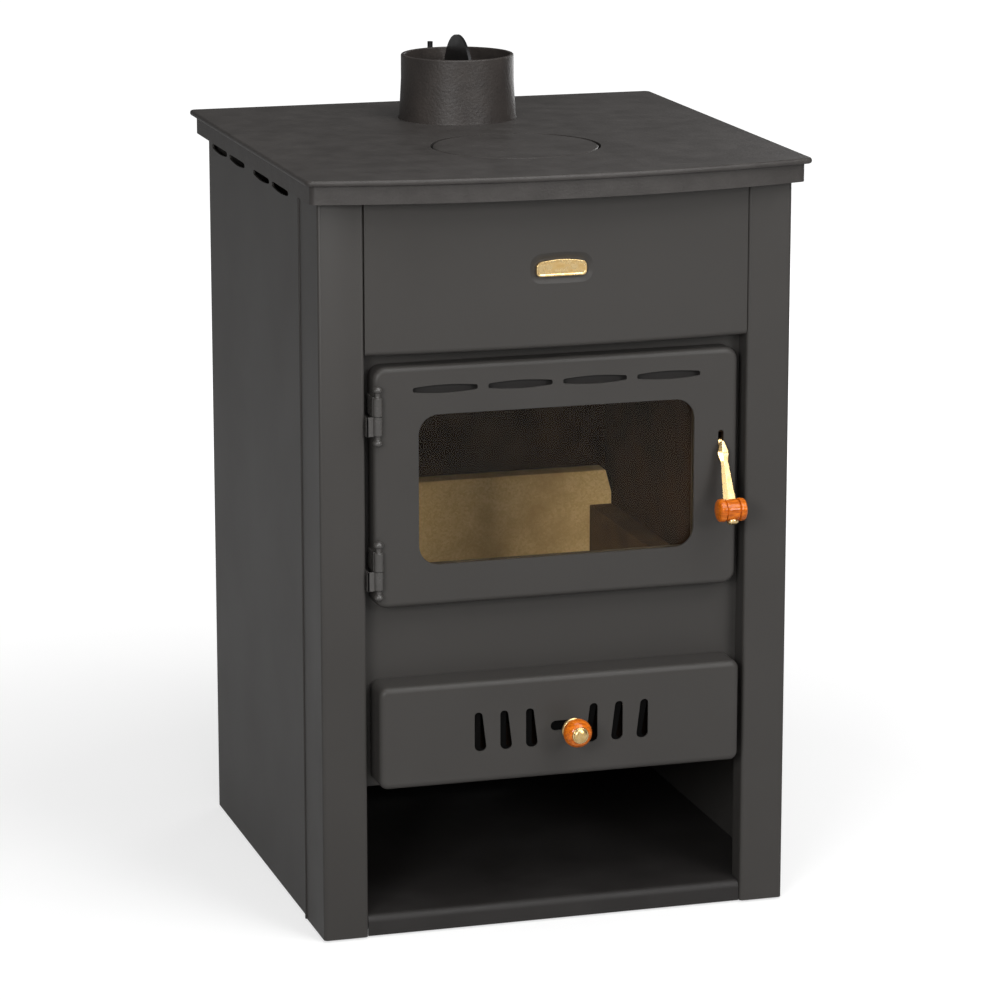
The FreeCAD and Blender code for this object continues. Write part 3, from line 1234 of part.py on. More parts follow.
def slide_guides():
    half = S.slide_width / 2
    keep = SLIDE_BACK + S.slide_gap
    back = keep + S.guide_sheet
    lap = S.guide_lap
    guides = []
    for name, edge, sign in (("lower", SLIDE_BOTTOM, -1), ("upper", SLIDE_TOP, 1)):
        clear = edge + sign * S.slide_gap
        far = edge + sign * S.guide_height
        lapped = edge - sign * lap
        points = [
            (DRAWER_INNER, clear), (DRAWER_INNER, far), (back, far),
            (back, lapped), (keep, lapped), (keep, clear),
        ]
        if sign > 0:
            points = list(reversed(points))
        guides.append(prism(f"{name}_guide", "X", points, (-half, half)))
    node(group("guides", guides), "slide_guides")


def air_plate():
    middle = S.knob_offset - S.slide_travel / 2
    half = S.slide_width / 2
    y = (SLIDE_FRONT, SLIDE_BACK)
    blank = box("slide_blank", (middle - half, middle + half), y, (SLIDE_BOTTOM, SLIDE_TOP))
    through = (SLIDE_FRONT - S.slide_thick, SLIDE_BACK + S.slide_thick)
    node(cut("slide", blank, air_slots("slide_air", through, S.knob_offset)), "air_plate")


def air_knob():
    spot = (S.knob_offset, KNOB_LEVEL)
    centre = FRONT - S.ball_centre
    end = S.ball_end
    flat = root(S.ball_radius * S.ball_radius - end * end)
    rear, fore = centre + flat, centre - flat
    foot = SLIDE_FRONT
    stem = turned("knob_stem_rod", "Y", spot, [
        (ZERO, rear), (S.stem_radius, rear), (S.stem_radius, foot), (ZERO, foot),
    ])
    node(stem, "knob_stem")
    fit = S.stem_radius + S.running_fit
    ferrule = turned("knob_ferrule_ring", "Y", spot, [
        (fit, rear), (S.ferrule_radius, rear), (S.ferrule_radius, rear + S.ferrule_length / 2),
        (S.ferrule_radius * 3 / 4, rear + S.ferrule_length), (fit, rear + S.ferrule_length),
    ])
    node(ferrule, "knob_ferrule")
    ball = turned("knob_ball_turning", "Y", spot, [
        (ZERO, fore), (end, fore, S.ball_radius, True), (S.ball_radius, centre, S.ball_radius, True),
        (end, rear), (ZERO, rear),
    ])
    node(ball, "knob_ball")
    cap = turned("knob_cap_dome", "Y", spot, [
        (ZERO, centre - S.ball_radius - S.knob_cap_height),
        (S.knob_cap_radius / 2, centre - S.ball_radius - S.knob_cap_height),
        (S.knob_cap_radius, centre - S.ball_radius), (end, fore), (ZERO, fore),
    ])
    node(cap, "knob_cap")


def check_and_write():
    DOC.recompute()
    for item in DOC.Objects:
        if "Invalid" in item.State or "Error" in item.State:
            raise RuntimeError(f"{item.Label} failed: {item.State}")
    for item in NODES:
        if item.Shape.isNull() or not item.Shape.isValid() or not item.Shape.Solids:
            raise RuntimeError(f"{item.Label} has no valid solid")
    os.makedirs("parts", exist_ok=True)
    for item in NODES:
        item.Shape.exportStep(f"parts/{item.Label}.step")
        print(item.Label, len(item.Shape.Solids), round(item.Shape.Volume / 1000, 2), "cm3")


for name, flip in (("left", True), ("right", False)):
    side_panel(name, flip)
    front_post(name, flip)
back_panel()
back_panel_screws()
base_shelf()
levelling_feet()
front_frame()
upper_front_panel()
badge_plate()
top_plate()
hotplate_lid()
flue_collar()
collar_bolts()
damper_disc()
damper_spindle()
damper_screws()
firebox_walls()
ash_floor()
hearth_plate()
grate()
linings()
baffle()
drawer_runners()
door_panel()
glazing()
glass_clips()
door_liner()
hinges()
latch_bracket()
lever_pin()
handle_lever()
handle_grip()
grip_cap()
latch_keeper()
drawer_front()
ash_pan()
drawer_brackets()
slide_guides()
air_plate()
air_knob()
check_and_write()
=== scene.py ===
import json
import logging
import math
from dataclasses import dataclass, replace
from enum import Enum
from typing import Any, Callable, Optional, Sequence

import bmesh
import bpy
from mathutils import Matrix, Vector


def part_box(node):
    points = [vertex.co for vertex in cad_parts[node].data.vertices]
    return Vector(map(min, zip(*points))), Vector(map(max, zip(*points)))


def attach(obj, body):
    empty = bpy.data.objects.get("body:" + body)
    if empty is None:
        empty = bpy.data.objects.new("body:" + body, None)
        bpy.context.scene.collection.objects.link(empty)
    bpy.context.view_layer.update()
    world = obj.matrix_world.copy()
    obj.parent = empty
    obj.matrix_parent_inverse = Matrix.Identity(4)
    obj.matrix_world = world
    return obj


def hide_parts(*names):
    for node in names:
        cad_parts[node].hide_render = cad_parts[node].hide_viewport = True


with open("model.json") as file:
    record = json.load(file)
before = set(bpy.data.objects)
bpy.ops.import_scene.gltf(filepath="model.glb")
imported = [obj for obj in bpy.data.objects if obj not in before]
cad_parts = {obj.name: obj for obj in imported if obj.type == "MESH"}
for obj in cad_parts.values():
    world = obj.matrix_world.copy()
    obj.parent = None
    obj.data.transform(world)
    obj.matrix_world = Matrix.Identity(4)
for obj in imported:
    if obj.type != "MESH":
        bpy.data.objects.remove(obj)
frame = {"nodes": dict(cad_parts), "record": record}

# Wood stove with a glazed fire door, an ash drawer, an open wood store and a cast iron hob.
# Sizes in the classes are millimetres in the CAD frame: +X right, +Y back, +Z up from the floor.

LOG = logging.getLogger("wood_stove")
MM = 0.001
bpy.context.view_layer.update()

# A direction counts as along an axis above the first, and two places as the same below the second.
ALONG = 0.9
NEAR = 0.1
# How far a cutter reaches past what it cuts.
PAST = 4.0
# Light and dark bands of a wave texture of scale 1 in a length of 1.
WAVE_BANDS = 6.3

Pair = tuple[float, float]
Triple = tuple[float, float, float]
Socket = bpy.types.NodeSocket
Tree = bpy.types.NodeTree


def at(x: float, y: float, z: float) -> Vector:
    """A point in millimetres."""
    return Vector((x, y, z))


def node_box(node: str) -> tuple[Vector, Vector]:
    """Finds where a CAD node is.

    Args:
        node: the node's name.

    Returns:
        Its lowest and highest corners in millimetres.
    """
    low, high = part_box(node)
    return Vector(low) / MM, Vector(high) / MM


def middle_of(node: str) -> Vector:
    """The middle of a CAD node's box in millimetres."""
    low, high = node_box(node)
    return (low + high) / 2


def linear(colour: str) -> tuple[float, float, float, float]:
    """Turns an sRGB hex colour into the linear one that shaders take.

    Args:
        colour: six hex digits after a hash.

    Returns:
        Linear red, green, blue and alpha.
    """
    parts = [int(colour[i:i + 2], 16) / 255 for i in (1, 3, 5)]
    red, green, blue = [c / 12.92 if c <= 0.04045 else ((c + 0.055) / 1.055) ** 2.4 for c in parts]
    return red, green, blue, 1.0


def per(size: float) -> float:
    """The texture scale whose features are a size in millimetres."""
    return 1 / (size * MM)


def add(tree: Tree, kind: str, inputs: Optional[dict] = None, **settings: Any) -> bpy.types.Node:
    """Adds a node with its settings and links.

    Args:
        tree: the node tree.
        kind: the node's type.
        inputs: values or output sockets by input name or number.
        settings: the node's own properties.

    Returns:
        The new node.
    """
    made = tree.nodes.new(kind)
    for key, value in settings.items():
        setattr(made, key, value)
    for key, value in (inputs or {}).items():
        if isinstance(value, Socket):
            tree.links.new(value, made.inputs[key])
        else:
            made.inputs[key].default_value = value
    return made


def clouded(tree: Tree, spot: Socket, size: float, span: Pair, tones: tuple[str, str], gloss: Pair,
            **noise: float) -> tuple[Socket, Socket, Socket]:
    """Spreads two tones and two levels of gloss in clouds.

    Args:
        tree: the node tree.
        spot: the coordinates.
        size: the size of a cloud.
        span: the noise values at which each tone is pure.
        tones: the two colours.
        gloss: the roughness of each.
        noise: further inputs of the noise.

    Returns:
        The noise, the colour and the roughness.
    """
    cloud = add(tree, "ShaderNodeTexNoise", {"Vector": spot, "Scale": per(size), **noise}).outputs[0]
    spread = add(tree, "ShaderNodeMapRange",
                 {"Value": cloud, "From Min": span[0], "From Max": span[1]}).outputs[0]
    tint = add(tree, "ShaderNodeMix", {0: spread, 6: linear(tones[0]), 7: linear(tones[1])}, data_type="RGBA")
    rough = add(tree, "ShaderNodeMapRange", {"Value": spread, "To Min": gloss[0], "To Max": gloss[1]})
    return cloud, tint.outputs[2], rough.outputs[0]


# Finishes

@dataclass(frozen=True)
class Finish:
    """A surface of the stove: its name, and the record's material slot that it belongs to."""

    name: str
    slot: str

    def material(self) -> bpy.types.Material:
        """Makes the material, or finds it if it was made before.

        Returns:
            The Blender material.
        """
        made = bpy.data.materials.get(self.name)
        if made is None:
            made = bpy.data.materials.new(self.name)
            made.use_nodes = True
            tree = made.node_tree
            tree.nodes.clear()
            spot = add(tree, "ShaderNodeTexCoord").outputs["Object"]
            add(tree, "ShaderNodeOutputMaterial", {"Surface": self.surface(tree, spot)})
        return made

    def surface(self, tree: Tree, spot: Socket) -> Socket:
        """Lays out the shader.

        Args:
            tree: the material's node tree.
            spot: the Object coordinates.

        Returns:
            The shader's output.
        """
        raise NotImplementedError


@dataclass(frozen=True)
class GritFinish(Finish):
    """A dull coat: two near tones in clouds, lumps and a fine grit in the bump, and uneven gloss."""

    dark: str
    pale: str
    cloud: float
    grit: float
    grit_height: float
    lump: float
    lump_height: float
    gloss: Pair
    metal: float = 0.0
    shine: float = 0.5

    def surface(self, tree: Tree, spot: Socket) -> Socket:
        """Lays out the shader.

        Args:
            tree: the material's node tree.
            spot: the Object coordinates.

        Returns:
            The shader's output.
        """
        _, tint, rough = clouded(tree, spot, self.cloud, (0.3, 0.7), (self.dark, self.pale), self.gloss,
                                 Detail=5.0)
        relief: dict[str, Socket] = {}
        for size, height in ((self.lump, self.lump_height), (self.grit, self.grit_height)):
            noise = add(tree, "ShaderNodeTexNoise", {"Vector": spot, "Scale": per(size), "Detail": 2.0})
            bump = add(tree, "ShaderNodeBump", {"Height": noise.outputs[0], "Distance": height * MM, **relief})
            relief = {"Normal": bump.outputs[0]}
        return add(tree, "ShaderNodeBsdfPrincipled", {
            "Base Color": tint, "Roughness": rough, "Metallic": self.metal, "Specular IOR Level": self.shine,
            **relief,
        }).outputs[0]


@dataclass(frozen=True)
class BoardFinish(Finish):
    """Pressed vermiculite board: tan flakes of several tones, stains, and soot that thickens upwards."""

    base: str
    flake: str
    shade: str
    soot: str
    soot_from: float
    soot_to: float
    flake_size: float = 2.2
    flake_height: float = 0.25
    stain_size: float = 45.0

    def surface(self, tree: Tree, spot: Socket) -> Socket:
        """Lays out the shader.

        Args:
            tree: the material's node tree.
            spot: the Object coordinates.

        Returns:
            The shader's output.
        """
        flakes = add(tree, "ShaderNodeTexVoronoi", {"Vector": spot, "Scale": per(self.flake_size)})
        tone = add(tree, "ShaderNodeSeparateColor", {0: flakes.outputs["Color"]}).outputs[0]
        cloud = add(tree, "ShaderNodeTexNoise",
                    {"Vector": spot, "Scale": per(self.stain_size), "Detail": 4.0}).outputs[0]
        stain = add(tree, "ShaderNodeMapRange", {"Value": cloud, "From Min": 0.45, "From Max": 0.75}).outputs[0]
        level = add(tree, "ShaderNodeSeparateXYZ", {0: spot}).outputs[2]
        height = add(tree, "ShaderNodeMapRange", {
            "Value": level, "From Min": self.soot_from * MM, "From Max": self.soot_to * MM}).outputs[0]
        sooty = add(tree, "ShaderNodeMath", {0: height, 1: cloud}, operation="MULTIPLY").outputs[0]
        colour = linear(self.base)
        for share, over in ((tone, self.flake), (stain, self.shade), (sooty, self.soot)):
            mixed = add(tree, "ShaderNodeMix", {0: share, 6: colour, 7: linear(over)}, data_type="RGBA")
            colour = mixed.outputs[2]
        rise = add(tree, "ShaderNodeBump", {"Height": tone, "Distance": self.flake_height * MM})
        return add(tree, "ShaderNodeBsdfPrincipled", {
            "Base Color": colour, "Roughness": 0.9, "Normal": rise.outputs[0], "Specular IOR Level": 0.25,
        }).outputs[0]


@dataclass(frozen=True)
class PolishedMetal(Finish):
    """Polished or plated metal: two near tones and faint rubbed marks in its gloss."""

    colour: str
    tarnish: str
    mark: float
    gloss: Pair

    def surface(self, tree: Tree, spot: Socket) -> Socket:
        """Lays out the shader.

        Args:
            tree: the material's node tree.
            spot: the Object coordinates.

        Returns:
            The shader's output.
        """
        _, tint, rough = clouded(tree, spot, self.mark, (0.35, 0.7), (self.colour, self.tarnish), self.gloss,
                                 Detail=6.0)
        return add(tree, "ShaderNodeBsdfPrincipled", {
            "Base Color": tint, "Roughness": rough, "Metallic": 1.0}).outputs[0]


@dataclass(frozen=True)
class LacqueredWood(Finish):
    """Turned hardwood under clear orange lacquer: streaks along the grain, a wet-looking coat."""

    pale: str
    deep: str
    grain: float
    stretch: Triple
    gloss: Pair = (0.3, 0.45)
    grain_height: float = 0.04

    def surface(self, tree: Tree, spot: Socket) -> Socket:
        """Lays out the shader.

        Args:
            tree: the material's node tree.
            spot: the Object coordinates.

        Returns:
            The shader's output.
        """
        along = add(tree, "ShaderNodeMapping", {"Vector": spot, "Scale": self.stretch}).outputs[0]
        streak, tint, rough = clouded(tree, along, self.grain, (0.32, 0.68), (self.pale, self.deep), self.gloss,
                                      Detail=6.0, Roughness=0.65)
        rise = add(tree, "ShaderNodeBump", {"Height": streak, "Distance": self.grain_height * MM})
        return add(tree, "ShaderNodeBsdfPrincipled", {
            "Base Color": tint, "Roughness": rough, "Normal": rise.outputs[0],
            "Specular IOR Level": 0.06, "Coat Weight": 0.5, "Coat Roughness": 0.05,
        }).outputs[0]


@dataclass(frozen=True)
class FireGlass(Finish):
    """Clear glass-ceramic with its slight amber cast; lamps shine through to the lining.

    The real index is 1.53. The photograph shows hardly any glare on the pane, so the index is lower here.
    """

    cast: str
    smoke: str
    through: str
    film: float = 60.0
    ior: float = 1.18

    def surface(self, tree: Tree, spot: Socket) -> Socket:
        """Lays out the shader.

        Args:
            tree: the material's node tree.
            spot: the Object coordinates.

        Returns:
            The shader's output.
        """
        film = add(tree, "ShaderNodeTexNoise", {"Vector": spot, "Scale": per(self.film), "Detail": 5.0})
        tint = add(tree, "ShaderNodeMix", {0: film.outputs[0], 6: linear(self.cast), 7: linear(self.smoke)},
                   data_type="RGBA")
        pane = add(tree, "ShaderNodeBsdfPrincipled", {
            "Base Color": tint.outputs[2], "Roughness": 0.0, "IOR": self.ior, "Transmission Weight": 1.0,
        })
        clear = add(tree, "ShaderNodeBsdfTransparent", {"Color": linear(self.through)})
        path = add(tree, "ShaderNodeLightPath")
        return add(tree, "ShaderNodeMixShader", {
            0: path.outputs["Is Shadow Ray"], 1: pane.outputs[0], 2: clear.outputs[0]}).outputs[0]


@dataclass(frozen=True)
class BraidedRope(Finish):
    """Glass-fibre rope: strands that cross the run of the rope, darkened by heat."""

    pale: str
    deep: str
    strand: float
    strand_height: float = 0.8
    fuzz: float = 1.2

    def surface(self, tree: Tree, spot: Socket) -> Socket:
        """Lays out the shader.

        Args:
            tree: the material's node tree.
            spot: the Object coordinates.

        Returns:
            The shader's output.
        """
        slanted = add(tree, "ShaderNodeMapping", {"Vector": spot, "Rotation": (0.0, math.pi / 4, 0.0)})
        lay = add(tree, "ShaderNodeTexWave", {
            "Vector": slanted.outputs[0], "Scale": per(self.strand) / WAVE_BANDS,
            "Distortion": 1.5, "Detail": 2.0, "Detail Scale": 2.0}).outputs["Fac"]
        fuzz = add(tree, "ShaderNodeTexNoise", {"Vector": spot, "Scale": per(self.fuzz), "Detail": 3.0})
        mixed = add(tree, "ShaderNodeMath", {0: lay, 1: fuzz.outputs[0]}, operation="MULTIPLY").outputs[0]
        tint = add(tree, "ShaderNodeMix", {0: mixed, 6: linear(self.deep), 7: linear(self.pale)},
                   data_type="RGBA")
        rise = add(tree, "ShaderNodeBump", {"Height": mixed, "Distance": self.strand_height * MM})
        return add(tree, "ShaderNodeBsdfPrincipled", {
            "Base Color": tint.outputs[2], "Roughness": 0.95, "Normal": rise.outputs[0],
            "Specular IOR Level": 0.2,
        }).outputs[0]


# Heat-proof lacquer sprayed on pressed sheet: flat dark brown-grey with a soft sheen on bends.
# The real grit is under 0.1 mm, drawn at 1.4 mm so that it shows.
PAINT = GritFinish("matt_stove_paint", "casing_paint", "#3a3836", "#3c3a38", cloud=120, grit=1.4,
                   grit_height=0.02, lump=25, lump_height=0.03, gloss=(0.42, 0.46), shine=0.25)
# Painted shade: the same lacquer, darker and duller, inside the wood store and behind the door's slots, where
# shade falls.
SHADE_DARK_PAINT = replace(PAINT, name="painted_shade_stove_paint", dark="#232120", pale="#292726", cloud=60,
                     gloss=(0.5, 0.6), shine=0.3)
# The same lacquer on the turned hinges, rubbed to a low shine.
HINGE_PAINT = replace(PAINT, name="rubbed_hinge_paint", dark="#3c3a38", pale="#43413f", cloud=20,
                      gloss=(0.24, 0.3), shine=0.6)
# Painted cast iron: the sand mould leaves a pebbled skin that breaks up the light.
# The real skin is about 0.3 mm coarse, drawn at 3 mm so that it shows.
IRON = GritFinish("sand_cast_iron", "cast_iron", "#312e2c", "#3c3937", cloud=26, grit=3.0, grit_height=0.3,
                  lump=11, lump_height=0.15, gloss=(0.46, 0.54), shine=0.4)
# The flue collar as it left the foundry: browner and coarser than the plate.
RAW_IRON = replace(IRON, name="raw_collar_iron", dark="#2b2725", pale="#36312e", cloud=30, lump=12,
                   lump_height=0.35, gloss=(0.45, 0.55))
# Bare sheet in the fire chamber: soot in clouds, no shine left.
SOOTED = GritFinish("sooted_fire_steel", "fire_steel", "#1d140e", "#37281d", cloud=55, grit=6.0,
                    grit_height=0.004, lump=14, lump_height=0.02, gloss=(0.75, 0.9), shine=0.08)
# Painted shade: the steel behind the draught slots, made near black so that the slots look dark inside.
SLOT_SHADE_BLACK = GritFinish("painted_shade_black_steel", "fire_steel", "#040404", "#080707", cloud=40, grit=2.0,
                       grit_height=0.03, lump=14, lump_height=0.03, gloss=(0.8, 0.9), shine=0.05)
# Blackened steel fittings: oiled oxide, half dull.
OXIDE = GritFinish("black_oxide_steel", "dark_steel", "#1f1f20", "#29292a", cloud=20, grit=1.0,
                   grit_height=0.012, lump=8, lump_height=0.02, gloss=(0.35, 0.45), metal=0.7)
# Zinc-plated screws and sheet: pale grey with cloudy plating.
ZINC = PolishedMetal("zinc_plated_steel", "zinc_steel", "#b4b7b9", "#8f9396", mark=6, gloss=(0.28, 0.42))
# Polished and lacquered brass: warm mirror with faint rubbing.
BRASS = PolishedMetal("polished_brass", "brass", "#f0d29a", "#dcb574", mark=5, gloss=(0.24, 0.34))
# Vermiculite board: tan flakes, browner and sooty towards the top.
BOARD = BoardFinish("vermiculite_board", "vermiculite", "#eedfb6", "#dcca9c", "#c8b488", "#5b4a33",
                    soot_from=375, soot_to=470)
# The side boards, dark brown: partly smoke from the fire below, partly painted shade, as they face away from
# the light.
SOOT_AND_SHADE_BOARD = BoardFinish("sooty_painted_shade_vermiculite", "vermiculite", "#5e4b37", "#4e3d2c", "#403226", "#2a2119",
                     soot_from=290, soot_to=420)
# Glass-ceramic: nearly colourless, a little amber where smoke has touched it.
GLASS = FireGlass("glass_ceramic_pane", "fire_glass", "#f6ebda", "#e6d8c0", "#f6f0e6")
# Braided glass fibre: grey strands with dark hollows between them.
ROPE = BraidedRope("glass_fibre_rope", "seal_fibre", "#6d6962", "#34322f", strand=4.0)
# Beech under orange lacquer: fine dark streaks along X, bright highlights.
WOOD = LacqueredWood("orange_lacquered_wood", "lacquered_wood", "#e67a1a", "#9c440a", grain=2.5,
                     stretch=(0.22, 1.0, 1.0))

FINISH_OF_SLOT: dict[str, Finish] = {
    made.slot: made for made in (PAINT, IRON, SOOTED, OXIDE, ZINC, BRASS, BOARD, GLASS, ROPE, WOOD)
}
# Nodes whose surface differs from the rest of their slot: painted shade behind the draught slots.
FINISH_OF_NODE: dict[str, Finish] = {
    "air_plate": SLOT_SHADE_BLACK, "slide_guides": SLOT_SHADE_BLACK, "slot_backing": SHADE_DARK_PAINT,
}


# The modelling bench

class Element(Enum):
    """What a selection is made of."""

    FACE = "FACE"
    EDGE = "EDGE"
    POINT = "VERT"


class Axis(Enum):
    """The way a piece that was made up Z is turned to lie."""

    X = (0.0, math.pi / 2, 0.0)
    Y = (-math.pi / 2, 0.0, 0.0)
    Z = (0.0, 0.0, 0.0)


class Blend(Enum):
    """How a piece takes up another one."""

    WELD = "UNION"
    CUT = "DIFFERENCE"


Test = Callable[[Vector, Vector], bool]


@dataclass(frozen=True)
class Ring:
    """One ring of a turned or drawn-out piece: half width, half depth and level along its axis."""

    wide: float
    deep: float
    level: float


def runs_back(middle: Vector, way: Vector) -> bool:
    """True for an edge that runs from front to back."""
    return abs(way.y) > ALONG


def faces_back(middle: Vector, way: Vector) -> bool:
    """True for a face that looks to the back."""
    return way.y > ALONG


def faces_front(middle: Vector, way: Vector) -> bool:
    """True for a face that looks to the front."""
    return way.y < -ALONG


def clear_bench() -> None:
    """Leaves edit mode and deselects everything."""
    if bpy.context.object is not None and bpy.context.object.mode != "OBJECT":
        bpy.ops.object.mode_set(mode="OBJECT")
    bpy.ops.object.select_all(action="DESELECT")


def alone(obj: bpy.types.Object) -> None:
    """Leaves edit mode and makes one object the only selected one.

    Args:
        obj: the object.
    """
    clear_bench()
    obj.select_set(True)
    bpy.context.view_layer.objects.active = obj


class Workpiece:
    """A mesh on the bench, shaped with Blender's own operators. All its sizes are millimetres."""

    def __init__(self, obj: bpy.types.Object, name: str) -> None:
        """Takes a new object and fixes its place in its mesh.

        Args:
            obj: the object.
            name: the piece's name.
        """
        self.obj = obj
        self.obj.name = name
        self.settle()

    @classmethod
    def block(cls, name: str, low: Vector, high: Vector) -> "Workpiece":
        """Starts from a cube.

        Args:
            name: the piece's name.
            low: its lowest corner.
            high: its highest corner.

        Returns:
            The piece.
        """
        clear_bench()
        bpy.ops.mesh.primitive_cube_add(size=1, location=(low + high) * (MM / 2))
        bpy.context.object.scale = (high - low) * MM
        return cls(bpy.context.object, name)

    @classmethod
    def rounded(cls, name: str, low: Vector, high: Vector, corner: float, segments: int) -> "Workpiece":
        """Starts from a cube whose four edges from front to back are rounded.

        Args:
            name: the piece's name.
            low: its lowest corner.
            high: its highest corner.
            corner: the radius of the corners.
            segments: their steps.

        Returns:
            The piece.
        """
        return cls.block(name, low, high).round_off(runs_back, corner, segments)

    @classmethod
    def sheet(cls, name: str, low: Vector, high: Vector) -> "Workpiece":
        """Starts from a plane that lies flat.

        Args:
            name: the piece's name.
            low: its lowest corner.
            high: its highest corner, at the same level.

        Returns:
            The piece.
        """
        clear_bench()
        bpy.ops.mesh.primitive_plane_add(size=1, location=(low + high) * (MM / 2))
        bpy.context.object.scale = ((high.x - low.x) * MM, (high.y - low.y) * MM, 1)
        return cls(bpy.context.object, name)

    @classmethod
    def stack(cls, name: str, rings: Sequence[Ring], sides: int, closed: bool = False,
              twist: float = 0.0) -> "Workpiece":
        """Starts from a circle and extrudes it ring by ring up Z.

        Args:
            name: the piece's name.
            rings: the rings from the first to the last.
            sides: points in each ring.
            closed: True if the last ring meets the first, as in a tube's wall.
            twist: turn of the first point about Z, in radians.

        Returns:
            The piece.
        """
        first = rings[0]
        clear_bench()
        bpy.ops.mesh.primitive_circle_add(vertices=sides, radius=1, location=(0, 0, first.level * MM),
                                          rotation=(0, 0, twist))
        bpy.ops.object.transform_apply(location=True, rotation=True, scale=True)
        bpy.context.object.scale = (first.wide * MM, first.deep * MM, 1)
        piece = cls(bpy.context.object, name)
        piece.edit()
        bpy.ops.mesh.select_all(action="SELECT")
        for before, ring in zip(rings, rings[1:]):
            piece.extrude(0, 0, ring.level - before.level)
            bpy.ops.transform.resize(value=(ring.wide / before.wide, ring.deep / before.deep, 1),
                                     center_override=(0, 0, ring.level * MM))
        bpy.ops.mesh.select_all(action="SELECT")
        if closed:
            bpy.ops.mesh.remove_doubles(threshold=1e-6)
        else:
            bpy.ops.mesh.fill_holes(sides=0)
        piece.face_outwards()
        return piece

    @classmethod
    def lathe(cls, name: str, profile: Sequence[Pair], sides: int, closed: bool = False) -> "Workpiece":
        """Starts from a round profile about Z.

        Args:
            name: the piece's name.
            profile: radius and level of each ring.
            sides: points in each ring.
            closed: True if the last ring meets the first.

        Returns:
            The piece.
        """
        return cls.stack(name, [Ring(radius, radius, level) for radius, level in profile], sides, closed)

    def settle(self) -> None:
        """Moves the object's place, turn and scale into its mesh."""
        alone(self.obj)
        bpy.ops.object.transform_apply(location=True, rotation=True, scale=True)

    def edit(self) -> None:
        """Opens the piece in edit mode."""
        alone(self.obj)
        bpy.ops.object.mode_set(mode="EDIT")

    def face_outwards(self) -> None:
        """Turns all faces of the piece in edit mode outwards, and closes it."""
        bpy.ops.mesh.select_all(action="SELECT")
        bpy.ops.mesh.normals_make_consistent(inside=False)
        alone(self.obj)

    def lay(self, axis: Axis, x: float = 0, y: float = 0, z: float = 0, lean: float = 0.0) -> "Workpiece":
        """Turns a piece made up Z to its axis and puts it in place.

        Args:
            axis: the axis that it lies along.
            x: its place to the right.
            y: its place to the back.
            z: its place upwards.
            lean: a further turn about X, in radians.

        Returns:
            The same piece.
        """
        self.obj.rotation_euler = axis.value
        self.obj.rotation_euler.x += lean
        self.obj.location = at(x, y, z) * MM
        self.settle()
        return self

    def pick(self, kind: Element, wanted: Test) -> None:
        """Selects faces, edges or points of the piece in edit mode.

        Args:
            kind: what is selected.
            wanted: a test on the middle, in millimetres, and the normal, or an edge's direction.
        """
        bpy.ops.mesh.select_mode(type=kind.value)
        bpy.ops.mesh.select_all(action="DESELECT")
        mesh = bmesh.from_edit_mesh(self.obj.data)
        if kind is Element.FACE:
            rows = [(face, face.calc_center_median(), face.normal) for face in mesh.faces]
        elif kind is Element.EDGE:
            rows = [(edge, (edge.verts[0].co + edge.verts[1].co) / 2,
                     (edge.verts[1].co - edge.verts[0].co).normalized()) for edge in mesh.edges]
        else:
            rows = [(vert, vert.co, vert.normal) for vert in mesh.verts]
        for item, middle, way in rows:
            if wanted(middle / MM, way):
                item.select_set(True)
        mesh.select_flush_mode()
        bmesh.update_edit_mesh(self.obj.data)

    def extrude(self, x: float, y: float, z: float) -> None:
        """Extrudes what is selected."""
        bpy.ops.mesh.extrude_region_move(TRANSFORM_OT_translate={"value": at(x, y, z) * MM})

    def move(self, x: float, y: float, z: float) -> None:
        """Moves what is selected."""
        bpy.ops.transform.translate(value=at(x, y, z) * MM)

    def round_off(self, wanted: Test, width: float, segments: int) -> "Workpiece":
        """Rounds some edges.

        Args:
            wanted: which edges.
            width: the rounding.
            segments: its steps.

        Returns:
            The same piece.
        """
        self.edit()
        self.pick(Element.EDGE, wanted)
        bpy.ops.mesh.bevel(offset=width * MM, offset_type="OFFSET", segments=segments, affect="EDGES")
        alone(self.obj)
        return self

    def split(self, columns: int) -> None:
        """Splits the piece into columns along X.

        Args:
            columns: how many.
        """
        self.edit()
        # Only edges straight along X, so that rounded corners keep their steps.
        self.pick(Element.EDGE, lambda middle, way: abs(way.x) > 0.999)
        bpy.ops.mesh.subdivide(number_cuts=columns - 1)
        alone(self.obj)

    def bow(self, face: Callable[[Vector], bool], push: Callable[[float], Vector]) -> None:
        """Moves some points of each column.

        Args:
            face: which points move.
            push: the move at a place along X.
        """
        self.edit()
        for place in sorted({round(vert.co.x / MM, 3) for vert in bmesh.from_edit_mesh(self.obj.data).verts}):
            self.pick(Element.POINT, lambda spot, way: abs(spot.x - place) < 0.01 and face(spot))
            self.move(*push(place))
        alone(self.obj)

    def finish(self, kind: str, **settings: Any) -> "Workpiece":
        """Adds a modifier and applies it.

        Args:
            kind: the modifier's type.
            settings: its properties.

        Returns:
            The same piece.
        """
        alone(self.obj)
        modifier = self.obj.modifiers.new(kind.lower(), kind)
        for key, value in settings.items():
            setattr(modifier, key, value)
        bpy.ops.object.modifier_apply(modifier=modifier.name)
        return self

    def thicken(self, sheet: float) -> "Workpiece":
        """Gives a folded sheet its thickness, inside its outer face.

        Args:
            sheet: the thickness.

        Returns:
            The same piece.
        """
        normal = max(self.obj.data.polygons, key=lambda row: row.area).normal
        outside = normal.y < -0.5 or normal.x > 0.5 or normal.z > 0.5
        return self.finish("SOLIDIFY", thickness=sheet * MM, offset=-1 if outside else 1)

    def copy(self, name: str, x: float = 0) -> "Workpiece":
        """Copies the piece with a mesh of its own and shifts the copy.

        Args:
            name: the copy's name.
            x: its shift along X.

        Returns:
            The copy.
        """
        alone(self.obj)
        bpy.ops.object.duplicate(linked=False)
        bpy.context.object.location.x = x * MM
        return Workpiece(bpy.context.object, name)

